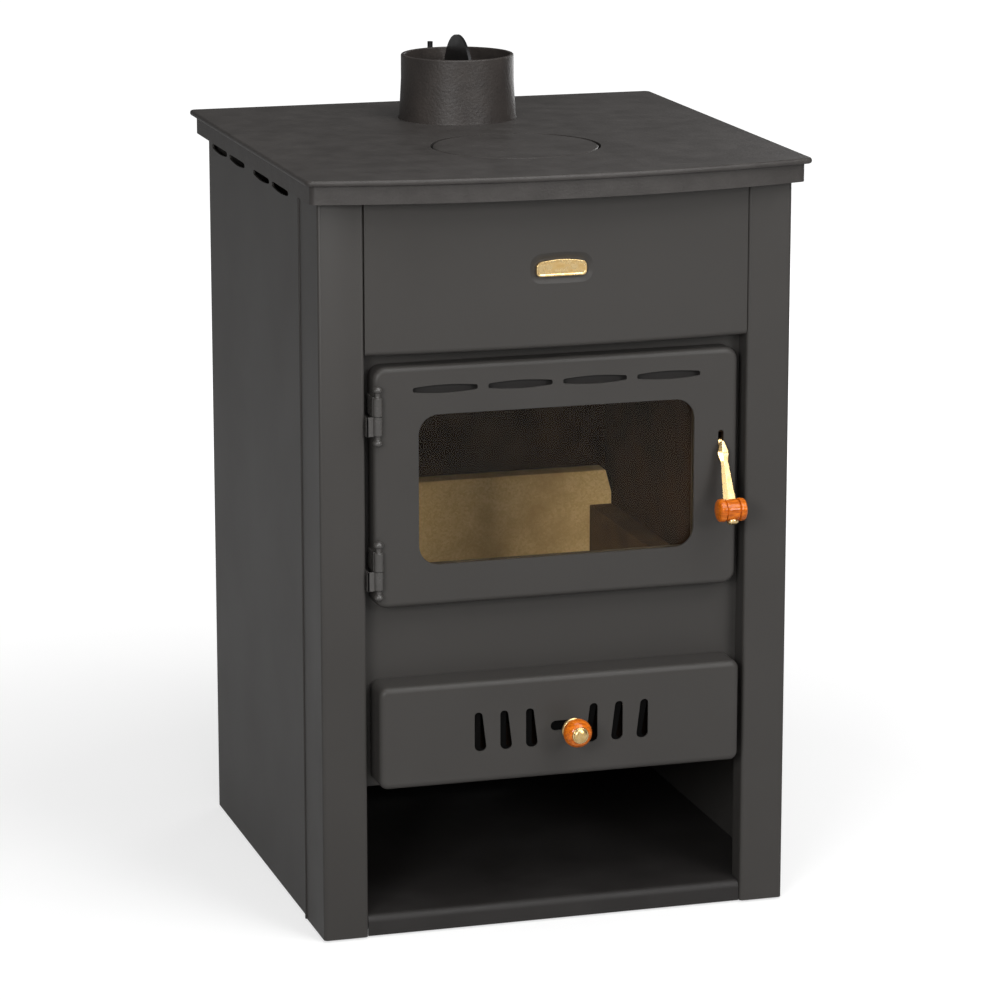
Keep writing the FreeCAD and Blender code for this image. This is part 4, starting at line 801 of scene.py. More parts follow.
    def repeat(self, places: Sequence[float]) -> list["Workpiece"]:
        """Copies the piece to several places along X and removes the first one.

        Args:
            places: where the copies stand.

        Returns:
            The copies.
        """
        copies = [self.copy(f"{self.obj.name}_{i}", place) for i, place in enumerate(places)]
        bpy.data.objects.remove(self.obj)
        return copies

    def mirrored(self, name: str) -> "Workpiece":
        """Copies the piece to the other side of the stove.

        Args:
            name: the copy's name.

        Returns:
            The copy.
        """
        other = self.copy(name)
        other.obj.scale.x = -1
        other.settle()
        other.edit()
        other.face_outwards()
        return other

    def join(self, *others: "Workpiece") -> "Workpiece":
        """Takes other pieces into this one's mesh.

        Args:
            others: the other pieces.

        Returns:
            The same piece.
        """
        alone(self.obj)
        for other in others:
            other.obj.select_set(True)
        bpy.ops.object.join()
        return self

    def combine(self, blend: Blend, *tools: "Workpiece") -> "Workpiece":
        """Unites this piece with others or cuts them out, and removes them.

        Args:
            blend: which of the two.
            tools: the other pieces.

        Returns:
            The same piece.
        """
        for tool in tools:
            self.finish("BOOLEAN", operation=blend.value, object=tool.obj, solver="EXACT")
            bpy.data.objects.remove(tool.obj)
        return self

    def soften(self, width: float, segments: int = 2, angle: float = 40, smooth: float = 40) -> "Workpiece":
        """Rounds the sharp edges and smooths the shading.

        Args:
            width: the rounding.
            segments: its steps.
            angle: edges sharper than this, in degrees, are rounded.
            smooth: edges flatter than this, in degrees, don't show in the shading.

        Returns:
            The same piece.
        """
        self.finish("BEVEL", width=width * MM, segments=segments, limit_method="ANGLE",
                    angle_limit=math.radians(angle), use_clamp_overlap=True)
        bpy.ops.object.shade_smooth_by_angle(angle=math.radians(smooth))
        return self.finish("WEIGHTED_NORMAL", keep_sharp=True)

    def install(self, body: str, finish: Finish, *nodes: str) -> None:
        """Dresses the finished piece and puts it on the stove.

        Args:
            body: the CAD body that carries it.
            finish: its surface.
            nodes: the CAD nodes that it stands for.
        """
        self.obj.data.materials.clear()
        self.obj.data.materials.append(finish.material())
        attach(self.obj, body)
        if nodes:
            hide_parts(*nodes)
        LOG.info("%s on %s, %d faces", self.obj.name, body, len(self.obj.data.polygons))


def arc_rise(place: float, half: float, rise: float) -> float:
    """How far a shallow bow stands out.

    Args:
        place: the distance from its middle.
        half: half its chord.
        rise: its rise in the middle.

    Returns:
        The rise at that place.
    """
    radius = (half * half + rise * rise) / (2 * rise)
    return math.sqrt(radius * radius - place * place) - (radius - rise)


def pressed_front(name: str, node: str, corner: float, edge: float, sheet: float) -> Workpiece:
    """A pressed sheet front: rounded corners and front edges, open at the back.

    Args:
        name: the piece's name.
        node: the CAD node whose box it fills.
        corner: the radius of its corners.
        edge: the radius of its front edge.
        sheet: the sheet's thickness.

    Returns:
        The piece.
    """
    low, high = node_box(node)
    shell = Workpiece.rounded(name, low, high, corner, 8)
    shell.round_off(lambda middle, way: middle.y < low.y + 0.01, edge, 8)
    shell.edit()
    shell.pick(Element.FACE, faces_back)
    bpy.ops.mesh.delete(type="FACE")
    return shell.finish("SOLIDIFY", thickness=sheet * MM, offset=-1)


# Sub-assemblies

@dataclass
class Casing:
    """Folded front posts and the tray of the wood store."""

    sheet: float = 2.0
    post_bend: float = 4.0
    post_flange: float = 78.0
    roll: float = 3.6
    roll_proud: float = 1.4
    roll_sunk: float = 1.5
    frame_recess: float = 25.0
    tray_clear: float = 0.5
    lip_radius: float = 8.0

    def build(self) -> None:
        """Builds and installs the pieces."""
        self.posts()
        self.tray()

    def posts(self) -> None:
        """A front post: a plane for the face, folded back along both sides, with a rolled seam."""
        low, high = node_box("right_front_post")
        post = Workpiece.sheet("right_post_folded", low, at(high.x, low.y + 1, low.z))
        post.edit()
        post.pick(Element.EDGE, lambda middle, way: middle.y > low.y + ALONG)
        post.move(0, -1, high.z - low.z)
        for side, depth in ((high.x, self.post_flange), (low.x, self.frame_recess)):
            post.pick(Element.EDGE, lambda middle, way: abs(way.z) > ALONG and abs(middle.x - side) < NEAR)
            post.extrude(0, depth, 0)
        post.round_off(lambda middle, way: abs(way.z) > ALONG and abs(middle.y - low.y) < NEAR,
                       self.post_bend, 6)
        post.edit()
        post.face_outwards()
        post.thicken(self.sheet)
        seam = low.y + self.post_flange
        roll = Workpiece.block("right_post_roll", at(high.x - self.roll_sunk, seam - self.roll, low.z),
                               at(high.x + self.roll_proud, seam, high.z))
        roll.round_off(lambda middle, way: abs(way.z) > ALONG and middle.x > high.x, self.roll_proud * 0.8, 4)
        post.join(roll)
        post.soften(0.4, 2, 50)
        post.mirrored("left_post_folded").install("stove", PAINT, "left_front_post")
        post.install("stove", PAINT, "right_front_post")

    def tray(self) -> None:
        """The wood store's floor, with its rolled front lip and turned-down edges."""
        low, high = node_box("base_shelf")
        inner = node_box("right_front_post")[0].x - self.tray_clear
        step = node_box("front_frame")[0].y + self.sheet
        top, fall = high.z - NEAR, low.z - high.z
        tray = Workpiece.sheet("store_tray", at(low.x, step, high.z), high)
        tray.edit()
        for side in (-inner, inner):
            bpy.ops.mesh.select_all(action="SELECT")
            bpy.ops.mesh.bisect(plane_co=at(side, 0, 0) * MM, plane_no=(1, 0, 0))
        tray.pick(Element.EDGE, lambda middle, way: abs(middle.y - step) < NEAR and abs(middle.x) < 1)
        tray.extrude(0, low.y - step, 0)
        tray.extrude(0, 0, fall)
        tray.round_off(lambda middle, way: abs(way.x) > ALONG and middle.y < low.y + NEAR and middle.z > top,
                       self.lip_radius, 8)
        tray.edit()
        tray.pick(Element.EDGE, lambda middle, way: middle.y > step + 1 and middle.z > top
                  and (abs(middle.x) > high.x - NEAR or middle.y > high.y - NEAR))
        tray.extrude(0, 0, fall)
        tray.face_outwards()
        # The tray's darker paint is painted shade from the drawer above.
        tray.thicken(self.sheet).soften(0.3, 2, 50).install("stove", SHADE_DARK_PAINT, "base_shelf")


@dataclass
class UpperPanel:
    """The bowed panel over the door, pressed in round a bare brass plate."""

    rise: float = 10.0
    bend: float = 5.0
    columns: int = 40
    press_depth: float = 2.7
    press_margin: float = 7.4
    press_slope: float = 5.8
    press_outside: float = 1.0
    plate_arch: float = 3.0
    plate_columns: int = 14
    plate_corner: float = 4.5
    plate_rim: float = 1.6
    plate_step: float = 0.6
    plate_sunk: float = 0.5

    def build(self) -> None:
        """Builds and installs the pieces."""
        low, high = node_box("upper_front_panel")
        post_face = node_box("right_front_post")[0].y
        panel = Workpiece.block("upper_panel_pressed", at(low.x, post_face, low.z), high)
        panel.split(self.columns)
        panel.bow(lambda spot: spot.y < post_face + 1,
                  lambda place: at(0, -arc_rise(place, high.x, self.rise), 0))
        panel.round_off(lambda middle, way: middle.z < low.z + NEAR and middle.y < post_face + NEAR
                        and abs(way.x) > 0.5, self.bend, 8)
        panel.combine(Blend.CUT, self.press(low.y))
        panel.soften(1.7, 5, 13)
        panel.install("stove", PAINT, "upper_front_panel")
        self.plate(low.y)

    def outline(self, name: str, front: float, back: float, margin: float) -> Workpiece:
        """A block with the plate's arched top and round lower corners.

        Args:
            name: the piece's name.
            front: its front plane.
            back: its back plane.
            margin: how far it reaches past the plate all round.

        Returns:
            The piece.
        """
        low, high = node_box("badge_plate")
        reach = high.x + margin
        shoulder = high.z - self.plate_arch + margin
        corner = self.plate_corner + margin * 0.8
        piece = Workpiece.rounded(name, at(-reach, front, low.z - margin), at(reach, back, shoulder), corner, 6)
        piece.split(self.plate_columns)
        piece.bow(lambda spot: spot.z > shoulder - corner - 0.01,
                  lambda place: at(0, 0, arc_rise(place, reach, self.plate_arch)))
        return piece

    def press(self, face: float) -> Workpiece:
        """The dished hollow that the plate sits in, as a cutter.

        Args:
            face: the panel's front.

        Returns:
            The cutter.
        """
        floor = face + self.press_depth
        slope = self.press_slope * (1 + self.press_outside / self.press_depth)
        mouth = self.press_margin - self.press_slope + slope
        tool = self.outline("panel_press_tool", face - self.press_outside, floor, mouth)
        tool.edit()
        tool.pick(Element.FACE, faces_back)
        low, high = node_box("badge_plate")
        wide, tall = high.x + mouth, (high.z - low.z) / 2 + mouth
        bpy.ops.transform.resize(value=(1 - slope / wide, 1, 1 - slope / tall),
                                 center_override=at(0, floor, (low.z + high.z) / 2) * MM)
        alone(tool.obj)
        return tool

    def plate(self, face: float) -> None:
        """The bare brass plate: a raised rim round a sunk field.

        Args:
            face: the panel's front.
        """
        front = node_box("badge_plate")[0].y
        plate = self.outline("bare_brass_plate", front, face + self.press_depth, 0)
        plate.edit()
        plate.pick(Element.FACE, faces_front)
        bpy.ops.mesh.inset(thickness=self.plate_rim * MM, depth=0)
        bpy.ops.mesh.inset(thickness=self.plate_step * MM, depth=-self.plate_sunk * MM)
        plate.soften(0.4, 3, 25).install("stove", BRASS, "badge_plate")


@dataclass
class Hob:
    """The cast top plate, its lift-out lid and the flue collar."""

    lip: float = 6.0
    lip_round: float = 2.6
    rise: float = 34.0
    band_inset: float = 6.0
    back_corner: float = 7.0
    front_corner: float = 6.0
    columns: int = 56
    lid_gap: float = 1.0
    lid_worn: float = 1.4
    lid_seat: float = 6.0
    lid_ledge: float = 8.0
    collar_base: float = 64.0
    collar_clear: float = 0.3
    collar_radius: float = 61.0
    collar_bore: float = 57.0
    collar_land: float = 26.0
    flange: float = 74.0
    flange_thick: float = 6.0
    web: float = 10.0
    boss_radius: float = 7.0
    damper_drop: float = 36.0
    sides: int = 128
    lid_hole_sides: int = 96

    def build(self) -> None:
        """Builds and installs the pieces."""
        self.top_plate()
        self.lid()
        self.collar()

    def slab(self, name: str, inset: float, bottom: float, top: float) -> Workpiece:
        """A slab with the plate's bowed front and round corners.

        Args:
            name: the piece's name.
            inset: how far it stands in from the lip.
            bottom: its lower face.
            top: its upper face.

        Returns:
            The piece.
        """
        low, high = node_box("top_plate")
        front = low.y + self.rise + inset
        half = high.x - inset
        slab = Workpiece.block(name, at(-half, front, bottom), at(half, high.y - inset, top))
        slab.round_off(lambda middle, way: abs(way.z) > ALONG and middle.y > 0, self.back_corner, 5)
        slab.split(self.columns)
        slab.bow(lambda spot: spot.y < front + 1, lambda place: at(0, -arc_rise(place, half, self.rise), 0))
        return slab.round_off(lambda middle, way: abs(way.z) > ALONG and middle.y < 0
                              and abs(middle.x) > half - NEAR, self.front_corner, 5)

    def top_plate(self) -> None:
        """The cast plate: a rounded lip over a set-back band, with the lid's seat and the flue hole."""
        low, high = node_box("top_plate")
        plate = self.slab("cast_top_plate", 0, high.z - self.lip, high.z)
        plate.round_off(lambda middle, way: abs(way.z) < NEAR and self.on_rim(middle), self.lip_round, 4)
        plate.combine(Blend.WELD, self.slab("cast_top_band", self.band_inset, low.z, high.z - self.lip + 0.01))
        seat = node_box("hotplate_lid")[1].x + self.lid_gap
        lid_y, flue_y = middle_of("hotplate_lid").y, middle_of("collar_bolts").y
        under, over = low.z - PAST, high.z + PAST
        holes = (("lid_seat_tool", lid_y, seat, high.z - self.lid_seat, over, self.sides),
                 ("lid_hole_tool", lid_y, seat - self.lid_ledge, under, high.z, self.lid_hole_sides),
                 ("flue_hole_tool", flue_y, self.collar_base + self.collar_clear, under, over, self.sides))
        tools = [Workpiece.lathe(name, [(radius, bottom), (radius, top)], sides).lay(Axis.Z, 0, y)
                 for name, y, radius, bottom, top, sides in holes]
        wall = node_box("right_side_panel")[1].x - 2 * Casing.sheet
        tools.append(Workpiece.block("plate_hollow_tool", at(-wall, node_box("front_frame")[1].y, under),
                                     at(wall, node_box("back_panel")[0].y - Casing.sheet, high.z - self.web)))
        plate.combine(Blend.CUT, *tools).soften(0.6).install("stove", IRON, "top_plate")

    def on_rim(self, spot: Vector) -> bool:
        """Tells the plate's outer edge from the rest.

        Args:
            spot: the middle of an edge.

        Returns:
            True on the outer edge.
        """
        low, high = node_box("top_plate")
        side = abs(spot.x)
        front = low.y + self.rise - arc_rise(min(side, high.x), high.x, self.rise)
        on_back = spot.y > high.y - self.back_corner - NEAR and side >= high.x - self.back_corner - NEAR
        on_corner = spot.y < low.y + self.rise + self.front_corner + 1 and side > high.x - self.front_corner - 1
        return side > high.x - 0.2 or on_back or on_corner or spot.y > high.y - 0.2 or spot.y < front + 1.2

    def lid(self) -> None:
        """The lift-out lid: a stepped disc, its edge eased."""
        low, high = node_box("hotplate_lid")
        neck = high.x - self.lid_ledge - self.lid_gap
        radius = high.x - self.lid_worn
        ledge = high.z - self.lid_seat
        lid = Workpiece.lathe("cast_lid", [
            (neck * 0.5, low.z), (neck, low.z), (neck, ledge), (radius, ledge),
            (radius, high.z - self.lid_worn), (radius - self.lid_worn, high.z), (radius * 0.5, high.z)],
            self.sides)
        lid.lay(Axis.Z, 0, (low.y + high.y) / 2).soften(0.5).install("lid", IRON, "hotplate_lid")

    def collar(self) -> None:
        """The flue collar: a tapered cast tube with a flange below the plate and the damper's bosses."""
        low, high = node_box("flue_collar")
        plate_top = node_box("top_plate")[1].z
        seat, top, bore = low.z + self.flange_thick, high.z, self.collar_bore
        wall = Workpiece.lathe("cast_flue_collar", [
            (bore, low.z), (self.flange, low.z), (self.flange, seat), (self.collar_base, seat),
            (self.collar_base, plate_top + 0.2), (self.collar_base - 0.9, plate_top + 3),
            (self.collar_radius, top - self.collar_land), (self.collar_radius, top - 1),
            (self.collar_radius - 1, top), (bore + 0.6, top), (bore, top - 0.6), (bore, low.z)],
            self.sides, closed=True)
        middle, boss = middle_of("collar_bolts").y, self.boss_radius
        wall.lay(Axis.Z, 0, middle)
        back = high.y - middle
        bosses = {
            "collar_front_boss": [(boss, -bore - 2), (boss, -bore + 3.2), (boss - 0.8, -bore + 4)],
            "collar_rear_boss": [(boss + 3, self.collar_radius - 1), (boss + 1.2, self.collar_base - 0.5),
                                 (boss, back - 3), (boss, back - 0.8), (boss - 0.8, back)],
        }
        wall.join(*[Workpiece.lathe(name, profile, 40).lay(Axis.Y, 0, middle, top - self.damper_drop)
                    for name, profile in bosses.items()])
        wall.soften(0.5).install("stove", RAW_IRON, "flue_collar")


@dataclass
class FireDoor:
    """The pressed door with its window, air slots, seal and hinges."""

    sheet: float = 2.5
    edge: float = 6.0
    corner: float = 14.0
    window_side: float = 47.0
    window_below: float = 43.0
    window_above: float = 51.0
    window_corner: float = 21.0
    slots: int = 4
    slot_columns: int = 14
    slot_margin: float = 41.2
    slot_gap: float = 11.2
    slot_height: float = 8.8
    slot_end: float = 4.6
    slot_drop: float = 25.0
    handle_inset: float = 18.0
    handle_slot: float = 6.0
    handle_slot_drop: float = 86.0
    handle_slot_height: float = 29.0
    rope: float = 10.0
    rope_corner: float = 12.0
    tape: float = 7.0
    tape_corner: float = 16.0
    leaf: float = 2.5
    knuckle: float = 5.0
    knuckle_height: float = 20.0
    neck: float = 2.8
    finial: float = 5.2

    def build(self) -> None:
        """Builds and installs the pieces."""
        self.shell()
        self.seal("door_rope_braided", "door_rope_seal", self.rope / 2, self.rope_corner)
        self.seal("glass_fibre_tape", "glass_gasket", self.tape / 2, self.tape_corner)
        for name in ("upper", "lower"):
            self.hinge_half(f"{name}_hinge_door_leaf", "door", 1)
            self.hinge_half(f"{name}_hinge_post_leaf", "stove", -1)

    def shell(self) -> None:
        """The pressed sheet, cut for the window, the air slots and the lever."""
        low, high = node_box("door_panel")
        shell = pressed_front("door_pressed_sheet", "door_panel", self.corner, self.edge, self.sheet)
        through = (low.y - PAST, low.y + self.sheet + PAST)
        window = Workpiece.rounded(
            "door_window_tool", at(low.x + self.window_side, through[0], low.z + self.window_below),
            at(high.x - self.window_side, through[1], high.z - self.window_above), self.window_corner, 12)
        half, x, top = self.handle_slot / 2, high.x - self.handle_inset, high.z - self.handle_slot_drop
        handle = Workpiece.rounded(
            "door_handle_slot_tool", at(x - half, through[0], top - self.handle_slot_height),
            at(x + half, through[1], top), half * 0.98, 6)
        reach = high.x - self.slot_margin
        length = (2 * reach - (self.slots - 1) * self.slot_gap) / self.slots
        slots = self.air_slot(length, through, high.z - self.slot_drop).repeat(
            [length / 2 - reach + i * (length + self.slot_gap) for i in range(self.slots)])
        shell.combine(Blend.CUT, window, handle, *slots)
        shell.soften(0.7, 3, 50).install("door", PAINT, "door_panel")

    def air_slot(self, length: float, through: Pair, level: float) -> Workpiece:
        """A lens-shaped slot cutter about X 0: a low block whose middle swells up and down.

        Args:
            length: the slot's length.
            through: the cutter's front and back.
            level: the slot's middle.

        Returns:
            The cutter.
        """
        half, end = length / 2, self.slot_end / 2
        rise = self.slot_height / 2 - end
        tool = Workpiece.block("door_slot_tool", at(-half, through[0], level - end),
                               at(half, through[1], level + end))
        tool.split(self.slot_columns)
        tool.bow(lambda spot: spot.z > level, lambda place: at(0, 0, arc_rise(place, half, rise)))
        tool.bow(lambda spot: spot.z < level, lambda place: at(0, 0, -arc_rise(place, half, rise)))
        return tool.round_off(lambda middle, way: runs_back(middle, way) and abs(middle.x) > half - NEAR,
                              end * 0.7, 3)

    def seal(self, name: str, node: str, radius: float, corner: float) -> None:
        """A fibre ring that runs round a rectangle with round corners, pressed to the depth of its node.

        Args:
            name: the piece's name.
            node: the CAD node that it stands for.
            radius: half the ring's thickness in the door's plane.
            corner: the radius of its middle line at the corners.
        """
        low, high = node_box(node)
        clear_bench()
        bpy.ops.mesh.primitive_plane_add(size=1, location=(low + high) * (MM / 2), rotation=(math.pi / 2, 0, 0))
        bpy.context.object.scale = ((high.x - low.x - 2 * radius) * MM, (high.z - low.z - 2 * radius) * MM, 1)
        line = Workpiece(bpy.context.object, name)
        line.edit()
        bpy.ops.mesh.select_all(action="SELECT")
        bpy.ops.mesh.bevel(offset=corner * MM, offset_type="OFFSET", segments=8, affect="VERTICES")
        bpy.ops.mesh.select_all(action="SELECT")
        bpy.ops.mesh.delete(type="ONLY_FACE")
        alone(line.obj)
        bpy.ops.object.convert(target="CURVE")
        bpy.context.object.data.bevel_depth = radius * MM
        bpy.context.object.data.bevel_resolution = 5
        bpy.ops.object.convert(target="MESH")
        ring = Workpiece(bpy.context.object, name)
        ring.edit()
        bpy.ops.mesh.select_all(action="SELECT")
        bpy.ops.mesh.remove_doubles(threshold=1e-6)
        bpy.ops.transform.resize(value=(1, (high.y - low.y) / 2 / radius, 1),
                                 center_override=at(0, (low.y + high.y) / 2, 0) * MM)
        ring.face_outwards()
        bpy.ops.object.shade_smooth()
        ring.install("door", ROPE, node)

    def hinge_half(self, node: str, body: str, way: int) -> None:
        """One half of a lift-off hinge: a turned knuckle with a finial, and its leaf.

        Args:
            node: the CAD node that it stands for.
            body: the body that it moves with.
            way: 1 if its finial points up, -1 if down.
        """
        low, high = node_box(node)
        pin = middle_of("hinge_pins")
        joint = low.z if way > 0 else high.z
        top, r, n, f = self.knuckle_height, self.knuckle, self.neck, self.finial
        steps = [(r - 0.2, 0.0), (r, 0.2), (r, top - 1.2), (r - 0.7, top - 0.4), (n + 0.3, top - 0.1),
                 (n, top + 2.0), (n + 0.3, top + 4.0), (n + 1.5, top + 4.7), (f, top + 6.0), (f, top + 7.8),
                 (f - 0.9, top + 9.4), (f - 2.6, top + 10.5), (0.4, top + 10.9)]
        barrel = Workpiece.lathe(node + "_turned", [(radius, joint + way * run) for radius, run in steps], 40)
        barrel.lay(Axis.Z, pin.x, pin.y)
        bottom, top = sorted((joint, joint + way * self.knuckle_height))
        if body == "door":
            edge = node_box("door_panel")[0].x
            barrel.join(Workpiece.block(node + "_flag", at(edge - self.leaf, pin.y, bottom),
                                        at(edge, high.y, top)))
        else:
            start = at(low.x, pin.y - self.leaf / 2, bottom)
            barrel.join(Workpiece.block(node + "_flag", start, at(low.x + self.leaf, high.y, top)),
                        Workpiece.block(node + "_arm", start, at(pin.x - r + 1, pin.y + self.leaf / 2, top)))
        barrel.soften(0.4, 2, 50).install(body, HINGE_PAINT, node)


@dataclass
class DoorHandle:
    """The brass lever with its turned wooden grip."""

    lever: float = 5.0
    hub: float = 6.5
    hub_ease: float = 0.4
    arm: float = 52.0
    arm_run: float = 21.56
    # From the tip over the swollen elbow to the grip, with levels from the elbow. The turn sets the facets.
    arm_rings: tuple[Ring, ...] = (
        Ring(2.2, 2.0, 8), Ring(6.6, 2.9, -3), Ring(6.6, 2.9, -6), Ring(4.6, 1.9, -13), Ring(7.8, 3.9, -53.6))
    arm_turn: float = -0.3
    elbow_out: float = 7.0
    elbow_drop: float = 3.0
    tongue: float = 4.0
    tongue_inset: float = 1.2
    tongue_drop: float = 6.0
    web_front: float = 0.5
    web_drop: float = 13.0
    web_rise: float = 1.0
    web_clear: float = 1.0
    hook_reach: float = 9.0
    hook_height: float = 6.0
    hook_beak: float = 5.0
    grip_radius: float = 12.0
    grip_half: float = 15.2
    stud: float = 3.0
    stud_length: float = 26.0

    def build(self) -> None:
        """Builds and installs the pieces."""
        pivot = middle_of("lever_pin")
        face = node_box("door_panel")[0].y
        elbow = at(pivot.x, face - self.elbow_out, pivot.z - self.elbow_drop)
        lean = math.asin(self.arm_run / self.arm)
        self.brass_lever(pivot, elbow, lean, face)
        self.grip(elbow, lean)
        self.nut(elbow, lean)

    def along(self, elbow: Vector, lean: float, down: float) -> Vector:
        """A point on the arm's middle line, so far below the elbow."""
        return elbow + at(0, -math.sin(lean) * down, -math.cos(lean) * down)

    def brass_lever(self, pivot: Vector, elbow: Vector, lean: float, face: float) -> None:
        """The lever: a six-sided arm that swells at the elbow, with its tongue, hub and hook behind the door.

        Args:
            pivot: the middle of the pin.
            elbow: where the arm leaves the tongue.
            lean: the arm's lean from upright, in radians.
            face: the door's front.
        """
        half, ease = self.lever / 2, self.hub_ease
        left, right = pivot.x - half, pivot.x + half
        arm = Workpiece.stack("brass_door_lever", self.arm_rings, 6, twist=self.arm_turn)
        stud = Workpiece.lathe("brass_lever_stud",
                               [(self.stud, 1 - self.arm), (self.stud, -self.arm - self.stud_length)], 24)
        for piece in (arm, stud):
            piece.lay(Axis.Z, *elbow, lean=-lean)
        hub = Workpiece.lathe("brass_lever_hub", [(self.hub - ease, -half), (self.hub, -half + ease),
                                                  (self.hub, half - ease), (self.hub - ease, half)], 40)
        hub.lay(Axis.X, *pivot)
        tongue = Workpiece.block(
            "brass_lever_tongue", at(left, elbow.y + self.tongue_inset, pivot.z - self.tongue),
            at(right, pivot.y, pivot.z + self.tongue))
        tongue.edit()
        tongue.pick(Element.FACE, faces_front)
        tongue.move(0, 0, -self.tongue_drop)
        web = Workpiece.block("brass_lever_web", at(left, elbow.y - self.web_front, elbow.z - self.web_drop),
                              at(right, face - self.web_clear, elbow.z + self.web_rise))
        under = pivot.z - self.hub
        hook = Workpiece.block("brass_lever_hook", at(left, pivot.y, under),
                               at(right, pivot.y + self.hook_reach, under + self.hook_height))
        hook.edit()
        hook.pick(Element.FACE, faces_back)
        hook.extrude(0, self.hook_beak, 0)
        hook.pick(Element.EDGE, lambda middle, way: abs(way.x) > ALONG
                  and middle.z > under + self.hook_height - 1
                  and middle.y > pivot.y + self.hook_reach + self.hook_beak - 1)
        hook.move(0, 0, self.hook_beak)
        arm.join(stud, hub, tongue, web, hook)
        arm.soften(0.3, 2, 15, 10).install("handle", BRASS, "handle_lever")

    def grip(self, elbow: Vector, lean: float) -> None:
        """The turned grip: a barrel with two scored grooves and domed ends.

        Args:
            elbow: where the arm leaves the tongue.
            lean: the arm's lean from upright, in radians.
        """
        r, h = self.grip_radius, self.grip_half
        half = [(3.0, -h), (r - 3.4, -h + 0.2), (r - 1.6, -h + 0.9), (r - 0.4, -h + 2.3), (r - 0.4, -h + 4.0),
                (r, -h + 5.6), (r - 0.2, -7.9), (r - 2.2, -7.4), (r - 2.2, -6.8), (r - 0.9, -6.3),
                (r - 0.7, -3)]
        profile = half + [(r - 0.7, 0.0)] + [(radius, -place) for radius, place in reversed(half)]
        grip = Workpiece.lathe("turned_grip", profile, 64)
        grip.lay(Axis.X, *self.along(elbow, lean, self.arm + 0.3 + r))
        grip.soften(0.2).install("handle", WOOD, "handle_grip")

    def nut(self, elbow: Vector, lean: float) -> None:
        """The brass nut under the grip.

        Args:
            elbow: where the arm leaves the tongue.
            lean: the arm's lean from upright, in radians.
        """
        nut = Workpiece.lathe("brass_grip_nut", [
            (1.0, -3.0), (3.6, -2.8), (5.2, -2.0), (6.0, -0.8), (6.0, 0.9), (5.6, 1.2)], 40)
        nut.lay(Axis.Z, *self.along(elbow, lean, self.arm + 0.6 + 2 * self.grip_radius), lean=-lean)
        nut.soften(0.2).install("handle", BRASS, "grip_cap")


